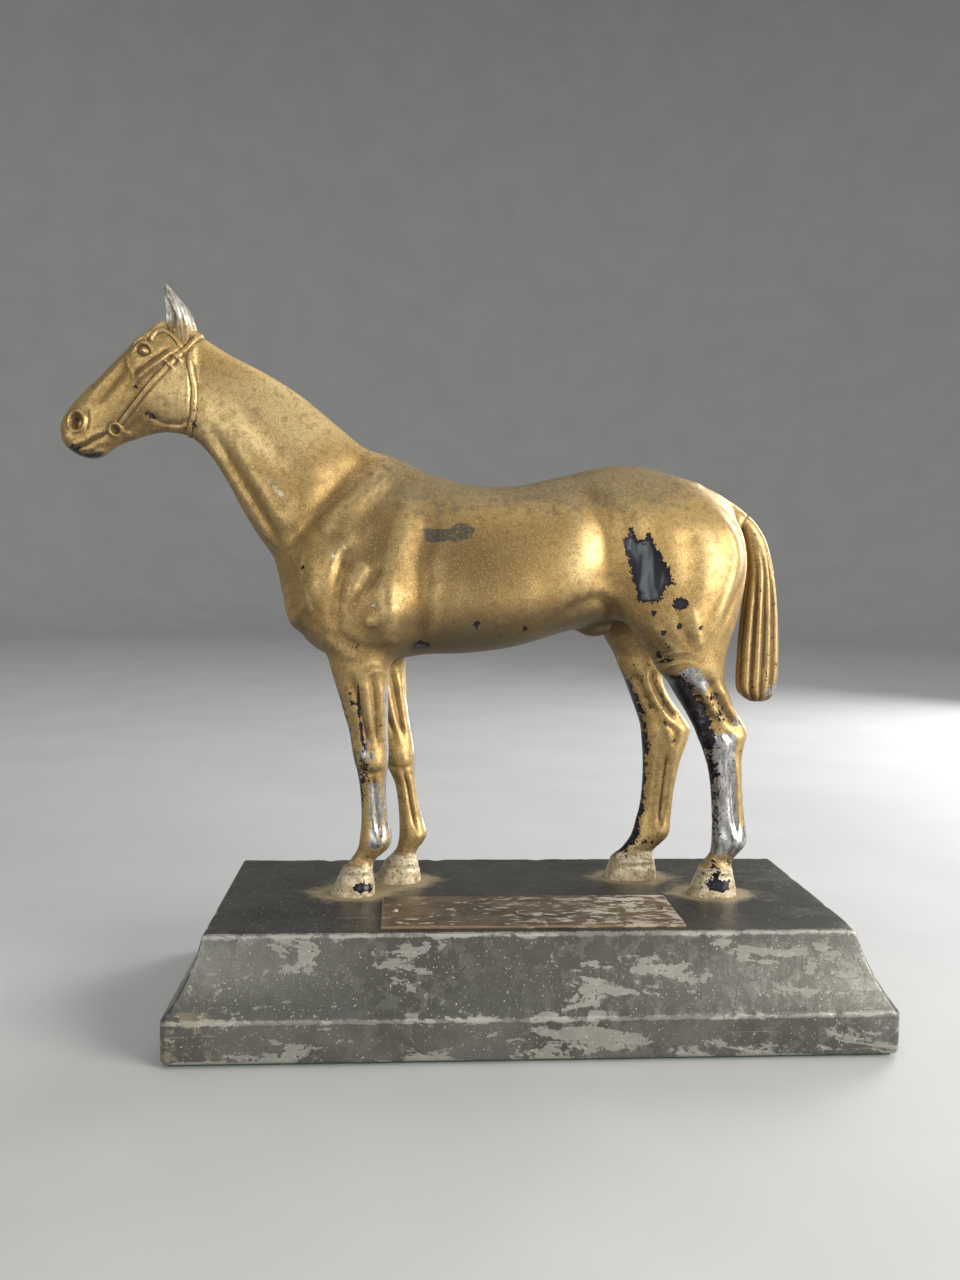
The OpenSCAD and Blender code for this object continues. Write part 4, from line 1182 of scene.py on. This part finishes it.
def plate_brass():
    """Tarnished brass plate under flaking pale lacquer."""
    p = Paint("plate_brass")
    cloud, grain = p.noise(11, 4, 0.6), p.noise(0.45, 3, 0.6)
    flakes = p.noise(2.6, 5, 0.7, where=p.stretched((0.45, 1.2, 1)), twist=0.5)
    brushed = p.noise(1.2, 2, 0.5, where=p.stretched((0.05, 1, 1)))
    colour = p.mix(p.step(cloud, 0.4, 0.62), (0.27, 0.2, 0.125), (0.15, 0.112, 0.075))
    colour = p.tint(colour, (0.28, 0.21, 0.125), 0.5, brushed, 0.45, 0.7)
    crust = flakes + p.step(p.axis(0), -30, 45, -0.035, 0.065) + (cloud - 0.5) * 0.25
    crust = p.step(crust, 0.56, 0.59)
    colour = p.mix(crust * 0.85, colour, (0.55, 0.49, 0.38))
    colour = p.tint(colour, (0.36, 0.27, 0.15), 0.6, p.attribute("edge"), 0.3, 0.9)
    colour = p.tint(colour, (0.05, 0.035, 0.02), 0.6, grain, 0.6, 0.68)
    rough = p.between(crust, p.between(cloud, 0.34, 0.5), 0.65)
    p.bump(crust * 0.8 + grain * 0.3, 0.14, 0.8)
    return p.finish(colour, p.between(crust, 0.75, 0.15), rough)


def pin_brass():
    p = Paint("pin_brass")
    cloud, grain = p.noise(1.2, 3, 0.6), p.noise(0.4, 2, 0.6)
    colour = p.mix(p.step(cloud, 0.4, 0.6), (0.42, 0.33, 0.2), (0.16, 0.12, 0.08))
    colour = p.tint(colour, (0.6, 0.57, 0.5), 0.8, grain, 0.56, 0.66)
    p.bump(grain, 0.05, 0.6)
    return p.finish(colour, p.step(grain, 0.56, 0.66, 0.85, 0.4), p.between(cloud, 0.35, 0.55))


def green_felt():
    p = Paint("green_felt", 0.0, 0.95)
    fibre, tuft = p.noise(0.5, 4, 0.7, twist=1.5), p.noise(6, 4, 0.6)
    colour = p.mix(p.step(fibre, 0.35, 0.65), (0.018, 0.06, 0.035), (0.05, 0.115, 0.07))
    colour = p.tint(colour, (0.1, 0.115, 0.085), 0.5, tuft, 0.55, 0.7)
    p.shader.inputs["Sheen Weight"].default_value = 0.4
    p.bump(fibre, 0.3, 0.9)
    return p.finish(colour)


def fibre_board():
    p = Paint("fibre_board", 0.0, 0.85)
    fibre, cloud = p.noise(0.8, 4, 0.7, where=p.stretched((0.25, 1, 1))), p.noise(14, 3, 0.5)
    colour = p.mix(p.step(fibre, 0.35, 0.65), (0.2, 0.125, 0.07), (0.33, 0.23, 0.14))
    colour = p.tint(colour, (0.14, 0.09, 0.05), 0.4, cloud, 0.4, 0.7)
    p.bump(fibre, 0.12, 0.8)
    return p.finish(colour)


def zinc_steel():
    p = Paint("zinc_steel")
    cloud, grain = p.noise(2.5, 4, 0.6), p.noise(0.4, 2, 0.6)
    colour = p.mix(p.step(cloud, 0.4, 0.65), (0.48, 0.49, 0.5), (0.3, 0.31, 0.31))
    rust = p.step(p.noise(1.6, 4, 0.65), 0.6, 0.66, 0, 0.8)
    colour = p.mix(rust, colour, (0.16, 0.065, 0.025))
    p.bump(grain, 0.05, 0.6)
    return p.finish(colour, p.between(rust, 0.9, 0.2), p.between(rust, 0.38, 0.8))


def pale_floor():
    p = Paint("pale_floor", 0.0, 0.75)
    cloud, grain = p.noise(90, 3, 0.5), p.noise(1.5, 2, 0.5)
    colour = p.mix(p.step(cloud, 0.3, 0.7), (0.5, 0.5, 0.49), (0.53, 0.53, 0.52))
    p.bump(grain, 0.05, 0.4)
    return p.finish(colour)


GILT, BARE, CAST, PLATE = gilt_paint(), bare_metal(), base_casting(), plate_brass()
CAD_LOOKS = {"nameplate_pin": pin_brass(), "felt_pad": green_felt(), "bottom_board": fibre_board(),
             "stud_": zinc_steel(), "washer_": zinc_steel(), "nut_": zinc_steel()}


def dress_cad_nodes():
    """Gives each CAD node that stays its material, by how its name starts."""
    for piece in bpy.data.objects:
        for start, material in CAD_LOOKS.items():
            if piece.type == "MESH" and piece.name.startswith(start):
                for slot in piece.material_slots:
                    slot.material = material


# ---------------------------------------------------------------- the horse's castings
def make_body():
    grid = Grid((-126, -31, FORE_SEAM_Z - SEAM_MARGIN), (90, 31, 246), 0.77 * SKIN)
    piece = casting("body", grid, horse_field(grid), GILT, ["body_casting"], stations=TRUNK)
    cut_off(piece, *past_head_seam())
    cut_off(piece, (0, 0, FORE_SEAM_Z), (0, 0, -1), lambda c: c.x < 0)
    cut_off(piece, (0, 0, HIND_SEAM_Z), (0, 0, -1), lambda c: c.x > 28)


def make_head():
    grid = Grid((-171, -13, 192), (-113, 13, 250), 0.36 * SKIN)
    piece = casting("head", grid, horse_field(grid), GILT, ["head_casting"], stations=HEAD)
    place, normal = past_head_seam()
    cut_off(piece, place, [-n for n in normal])


def make_leg(name, stations, side, seam_z):
    low, high = bounds_of(stations)
    lo = (low[0] + 5, min(side * 1.0, side * 26), SOLE_Z - 4)
    hi = (high[0] - 5, max(side * 1.0, side * 26), seam_z + SEAM_MARGIN)
    grid = Grid(lo, hi, 0.5 * SKIN)
    piece = casting(name, grid, horse_field(grid), GILT, [name], stations=stations)
    cut_off(piece, (0, 0, seam_z), (0, 0, 1))
    cut_off(piece, (0, 0, SOLE_Z), (0, 0, -1))


def tail_strands(across, along, grid):
    """Grooves between the tail's strands, deeper lower down."""
    deep = np.clip((170 - grid.z3) / 22, 0, 1)
    grooves = sum(np.exp(-(((along - at) / 0.13) ** 2)) for at in (-0.46, 0.04, 0.54))
    grooves = grooves * np.clip(across * 1.6, 0, 1)
    backs = sum(np.exp(-(((grid.y3 - at) / 0.55) ** 2)) for at in (-2.4, 0, 2.4))
    return deep * (1.2 * grooves + 1.0 * backs * np.clip(np.abs(along) * 1.4 - 0.5, 0, 1))


def make_tail():
    grid = Grid((75, -9, 106), (100, 9, 184), 0.5 * SKIN)
    casting("tail", grid, loft(grid, TAIL, 6, tail_strands), GILT, ["tail_casting"], stations=TAIL)


def ear_hairs(across, along, grid):
    """Fine grooves that run up an ear."""
    grooves = sum(np.exp(-(((along - at) / 0.1) ** 2)) for at in (-0.45, -0.1, 0.25, 0.6))
    return 0.3 * grooves * np.clip(across * 1.8, 0, 1) * np.clip((255 - grid.z3) / 3, 0, 1)


# An ear's leaf and the hollow in it: [top x, top z, foot x, foot z, half width, distance from the median].
EAR_LEAF = [
    (-127.4, 237.6, -121.8, 236.4, 1.3, 3.9), (-128.6, 241.3, -120.8, 240, 2.3, 4.6),
    (-129.8, 245, -120.7, 243.6, 3.1, 5.3), (-130.2, 249, -122.1, 247.9, 3.1, 5.7),
    (-130.2, 252.8, -124.4, 251.8, 2.4, 5.8), (-129.9, 255.5, -127, 254.9, 1.5, 5.7),
    (-129.6, 256.9, -128.7, 256.7, 0.6, 5.6)]
EAR_CUP = [
    (-134, 242.5, -125.6, 241.5, 2.2, 7.6), (-134, 246, -125.2, 245.2, 2.7, 7.6),
    (-134, 250, -126.4, 249.4, 2.2, 7.2), (-133, 253, -128.4, 252.6, 1.1, 6.6),
    (-132, 255, -130, 254.8, 0.4, 6)]


def make_ear(name, side):
    grid = Grid((-136, -13, 236), (-114, 13, 261), 0.3 * SKIN)
    leaf, cup = ([(*row, y * side, 0, 2) for *row, y in rows] for rows in (EAR_LEAF, EAR_CUP))
    field = carve(loft(grid, leaf, 6, ear_hairs), loft(grid, cup), 0.5)
    casting(name, grid, field, BARE, [name])


# ---------------------------------------------------------------- the base and its plate
def outline(half_x, half_y, radius, across, along, corner):
    """Points round a rounded rectangle, each corner's arc split between the two sides that meet there."""
    def side_points(count, half, other):
        turns = np.linspace(math.pi / 4, 0, corner + 1)[:-1]
        first = np.stack([-half + radius * (1 - np.cos(math.pi / 2 - turns)),
                          other - radius * (1 - np.sin(math.pi / 2 - turns))], 1)
        middle = np.linspace(-half + radius, half - radius, count - 2 * corner)
        straight = np.stack([middle, np.full(len(middle), other)], 1)
        return np.concatenate([first, straight, first[::-1] * [-1, 1]])
    long_side = side_points(across, half_x, half_y)
    short_side = side_points(along, half_y, half_x)
    front = long_side * [1, -1]
    right = short_side[:, ::-1]
    back = long_side[::-1]
    left = (short_side[:, ::-1] * [-1, 1])[::-1]
    return np.concatenate([front[:-1], right[:-1], back[:-1], left[:-1]])


def box_shell(rows, across, along, corner):
    """A closed skin over outlines [half x, half y, z, radius], with a grid over its top and underside."""
    count = 2 * (across + along) - 4
    rings = [np.column_stack([outline(hx, hy, r, across, along, corner), np.full(count, z)])
             for hx, hy, z, r in rows]
    vertices = list(rings)
    quads = []
    for n in range(len(rings) - 1):
        here = n * count + np.arange(count)
        after = n * count + (np.arange(count) + 1) % count
        quads.append(np.stack([here, after, after + count, here + count], 1))
    total = count * len(rings)
    for ring_at, flip in ((0, False), (len(rings) - 1, True)):
        ring = rings[ring_at]
        xs, ys = ring[:across, 0], ring[across - 1:across - 1 + along, 1]
        number = np.zeros((across, along), int)
        start = ring_at * count
        number[:, 0] = start + np.arange(across)
        number[-1, :] = start + across - 1 + np.arange(along)
        number[:, -1] = start + across + along - 2 + np.arange(across)[::-1]
        number[0, 1:] = start + 2 * across + along - 3 + np.arange(along - 1)[::-1]
        inner = np.array([(x, y, ring[0, 2]) for x in xs[1:-1] for y in ys[1:-1]])
        number[1:-1, 1:-1] = total + np.arange(len(inner)).reshape(across - 2, along - 2)
        total += len(inner)
        vertices.append(inner)
        corners = [number[:-1, :-1], number[1:, :-1], number[1:, 1:], number[:-1, 1:]]
        faces = np.stack(corners, -1).reshape(-1, 4)
        quads.append(faces[:, ::-1] if flip else faces)
    return np.concatenate(vertices), np.concatenate(quads)


def dented(vertices, places, sizes, depths, inward):
    """Small dents pressed into the skin, each along its own direction."""
    out = vertices.copy()
    for place, size, depth, way in zip(places, sizes, depths, inward, strict=True):
        distance = np.linalg.norm(vertices - place, axis=1)
        out += (depth * np.exp(-((distance / size) ** 2)))[:, None] * way
    return out


# The base's section: how far in its cove goes, the circle that it is part of, and the plinth and walls.
COVE_STEPS = 22
COVE_IN = 11.4
COVE_RADIUS = 52.2
EDGE_ROUND = 0.9
PLINTH_Z = 15
WALL = 4.8
ROOF = 3.2
# Samples across, along and round a corner.
BASE_SAMPLES = (181 // DETAIL, 85 // DETAIL, 4)
PLATE_SAMPLES = (161 // DETAIL, 61 // DETAIL, 2)
BASE_DENTS = 70
PLATE_DENTS = 24


def cove_rows(half_x, half_y):
    """Outlines down the base's outside: rounded top edge, hollow cove, rounded plinth."""
    top_x, top_y = half_x - COVE_IN, half_y - COVE_IN
    rows = []
    for turn in np.linspace(0, math.pi / 2.6, 5):
        inset = EDGE_ROUND * (1 - math.sin(turn))
        rows.append((top_x - inset, top_y - inset, TOP_Z - EDGE_ROUND * (1 - math.cos(turn)), 0.8))
    fall = TOP_Z - PLINTH_Z
    lean = math.atan2(COVE_IN, fall)
    half_arc = math.asin(math.hypot(COVE_IN, fall) / 2 / COVE_RADIUS)
    start, end = lean - half_arc, lean + half_arc
    for i in range(1, COVE_STEPS + 1):
        a = start + (end - start) * i / COVE_STEPS
        out = COVE_RADIUS * (math.cos(start) - math.cos(a))
        down = COVE_RADIUS * (math.sin(a) - math.sin(start))
        if down > EDGE_ROUND * 1.2:
            rows.append((top_x + out, top_y + out, TOP_Z - down, 0.8 + 1.7 * (i / COVE_STEPS) ** 4))
    for z in (PLINTH_Z - 0.8, PLINTH_Z - 1.8, 12, 10.4, 8.8, 7.2, 5.6, 4, 2.8, BASE_LO[2] + 0.9):
        rows.append((half_x, half_y, z, 2.5))
    rows.append((half_x - 0.3, half_y - 0.3, BASE_LO[2] + 0.3, 2.4))
    rows.append((half_x - 0.9, half_y - 0.9, BASE_LO[2], 2))
    return rows


def knocks(random, half_x, half_y):
    """Places along the base's top and plinth edges, and the way in at each."""
    edge_x, edge_y = half_x - COVE_IN, half_y - COVE_IN
    places, ways = [], []
    for _ in range(BASE_DENTS):
        long_side, high = random.random() < 0.7, random.random() < 0.55
        reach_x, reach_y = (edge_x, edge_y) if high else (half_x, half_y)
        z = TOP_Z if high else PLINTH_Z - 0.3
        if long_side:
            x, y = random.uniform(-reach_x, reach_x), reach_y * random.choice([-1, 1])
            way = np.array([0, -np.sign(y), -0.8])
        else:
            x, y = reach_x * random.choice([-1, 1]), random.uniform(-reach_y, reach_y)
            way = np.array([-np.sign(x), 0, -0.8])
        places.append((x, y, z))
        ways.append(way / np.linalg.norm(way))
    return places, ways


def bell(values, width):
    """1 where a value is 0, falling off within about this width."""
    return np.exp(-((values / width) ** 2))


def base_wear(skin, half_x, half_y, roof):
    """Where the base's skin is rubbed bright, on top, under gold overspray, and darker inside."""
    x, y, z = skin.T
    far_x, far_y = half_x - np.abs(x), half_y - np.abs(y)
    far = np.minimum(far_x, far_y)
    high_edge = bell(far - COVE_IN, 0.9) * band(z, TOP_Z - 1.6, 99, 0.6)
    low_edge = bell(far, 1.2) * band(z, PLINTH_Z - 1.4, PLINTH_Z + 0.9, 0.8)
    foot = bell(z - BASE_LO[2], 0.9) * (far < 1.5)
    arris = bell(far_x - far_y, 1.1) * (z < TOP_Z - 0.5) * (far < 12)
    top = (z > TOP_Z - 0.35).astype(float)
    overspray = np.zeros(len(skin))
    for stations in (FORE_LEFT, FORE_RIGHT, HIND_LEFT, HIND_RIGHT):
        toe, _, heel, _, _, hoof_y = stations[-1][:6]
        away = np.hypot((x - (toe + heel) / 2) / 13, (y - hoof_y - MEDIAN_Y) / 9)
        overspray += (0.75 * np.exp(-((away / 1.15) ** 4)) + 0.45 * bell(away, 1.9)) * top
    return {"edge": np.clip(high_edge + low_edge + foot * 0.7 + arris * 0.7, 0, 1), "top": top,
            "overspray": overspray, "dirt": ((z < roof + 0.5) & (far > COVE_IN + 1)).astype(float)}


def make_base():
    half_x, half_y = (BASE_HI - BASE_LO)[:2] / 2
    inner_x, inner_y, roof = half_x - WALL, half_y - WALL, TOP_Z - ROOF
    rows = cove_rows(half_x, half_y)
    rows += [(inner_x, inner_y, BASE_LO[2], 1), (inner_x, inner_y, PLINTH_Z - 2, 1),
             (inner_x - COVE_IN, inner_y - COVE_IN, roof, 1)]
    skin, quads = box_shell(rows, *BASE_SAMPLES)
    random = np.random.default_rng(11)
    places, ways = knocks(random, half_x, half_y)
    sizes, depths = random.uniform(1.0, 3.2, BASE_DENTS), random.uniform(0.12, 0.55, BASE_DENTS)
    vertices = dented(skin, places, sizes, depths, ways)
    x, y, z = vertices.T
    wave = np.sin(x * 0.071 + 1.3) * np.sin(y * 0.093 + z * 0.11) * 0.1
    wave = wave + np.sin(x * 0.19 + z * 0.21) * np.sin(y * 0.17) * 0.05
    outside = (z > 3) & (np.abs(y) <= half_y) & (skin[:, 2] > roof + 1)
    vertices[:, 2] -= np.where(outside, np.abs(wave), 0)
    worn = base_wear(skin, half_x, half_y, roof)
    piece = mesh_piece("base", vertices, quads, CAST, ["base_shell"], worn)
    sharp_angles(piece, 40)


def sharp_angles(piece, degrees):
    """Marks the edges that turn more than an angle as sharp, and turns all faces outwards."""
    work = bmesh.new()
    work.from_mesh(piece.data)
    bmesh.ops.recalc_face_normals(work, faces=work.faces[:])
    for edge in work.edges:
        if edge.is_manifold and edge.calc_face_angle() > math.radians(degrees):
            edge.smooth = False
    work.to_mesh(piece.data)
    work.free()


def make_plate():
    half_x, half_y = (PLATE_HI - PLATE_LO)[:2] / 2
    height = PLATE_HI[2] - PLATE_LO[2]
    # How far in and how far down the plate's outline lies, from its top to its underside.
    rounding = [(0.5, 0), (0.22, 0.06), (0.05, 0.22), (0, 0.45), (0, height - 0.02)]
    rows = [(half_x - inset, half_y - inset, height - down, 0.5) for inset, down in rounding]
    skin, quads = box_shell(rows, *PLATE_SAMPLES)
    random = np.random.default_rng(5)
    places = np.column_stack([random.uniform(-half_x, half_x, PLATE_DENTS),
                              random.uniform(-half_y, half_y, PLATE_DENTS), np.full(PLATE_DENTS, height)])
    sizes, depths = random.uniform(1.5, 5, PLATE_DENTS), random.uniform(0.03, 0.12, PLATE_DENTS)
    shaped = dented(skin, places, sizes, depths, np.tile([0.0, 0.0, -1.0], (PLATE_DENTS, 1)))
    shaped[:, 2] = np.maximum(shaped[:, 2], 0)
    far = np.minimum(half_x - np.abs(skin[:, 0]), half_y - np.abs(skin[:, 1]))
    middle = np.array([*(PLATE_LO + PLATE_HI)[:2] / 2, PLATE_LO[2]])
    piece = mesh_piece("engraving_plate", shaped + middle, quads, PLATE, ["nameplate"],
                       {"edge": np.clip(1 - far / 0.9, 0, 1)})
    sharp_angles(piece, 50)


make_body()
make_head()
make_leg("foreleg_left", FORE_LEFT, -1, FORE_SEAM_Z)
make_leg("foreleg_right", FORE_RIGHT, 1, FORE_SEAM_Z)
make_leg("hindleg_left", HIND_LEFT, -1, HIND_SEAM_Z)
make_leg("hindleg_right", HIND_RIGHT, 1, HIND_SEAM_Z)
make_tail()
make_ear("ear_left", -1)
make_ear("ear_right", 1)
make_base()
make_plate()
dress_cad_nodes()


# ---------------------------------------------------------------- floor and sweep
def make_floor():
    """A round pale floor whose rim curves up into a plain backdrop on every side."""
    flat, bend, top, around = 2.2, 0.9, 3.2, 96
    line = [(0.25, 0), (0.8, 0), (flat, 0)]
    line += [(flat + bend * math.sin(a), bend * (1 - math.cos(a)))
             for a in np.linspace(0.1, math.pi / 2, 14)]
    line.append((flat + bend, top))
    points = [(0, 0, 0)]
    turns = np.linspace(0, 2 * math.pi, around, endpoint=False)
    points += [(r * math.cos(a), r * math.sin(a), z) for r, z in line for a in turns]
    faces = [(0, 1 + k, 1 + (k + 1) % around) for k in range(around)]
    for i in range(len(line) - 1):
        inner, outer = 1 + i * around, 1 + (i + 1) * around
        faces += [(inner + k, outer + k, outer + after, inner + after)
                  for k, after in ((k, (k + 1) % around) for k in range(around))]
    mesh = bpy.data.meshes.new("floor")
    mesh.from_pydata(points, [], faces)
    mesh.polygons.foreach_set("use_smooth", np.ones(len(faces), bool))
    mesh.materials.append(pale_floor())
    floor = bpy.data.objects.new("floor", mesh)
    bpy.context.collection.objects.link(floor)


make_floor()
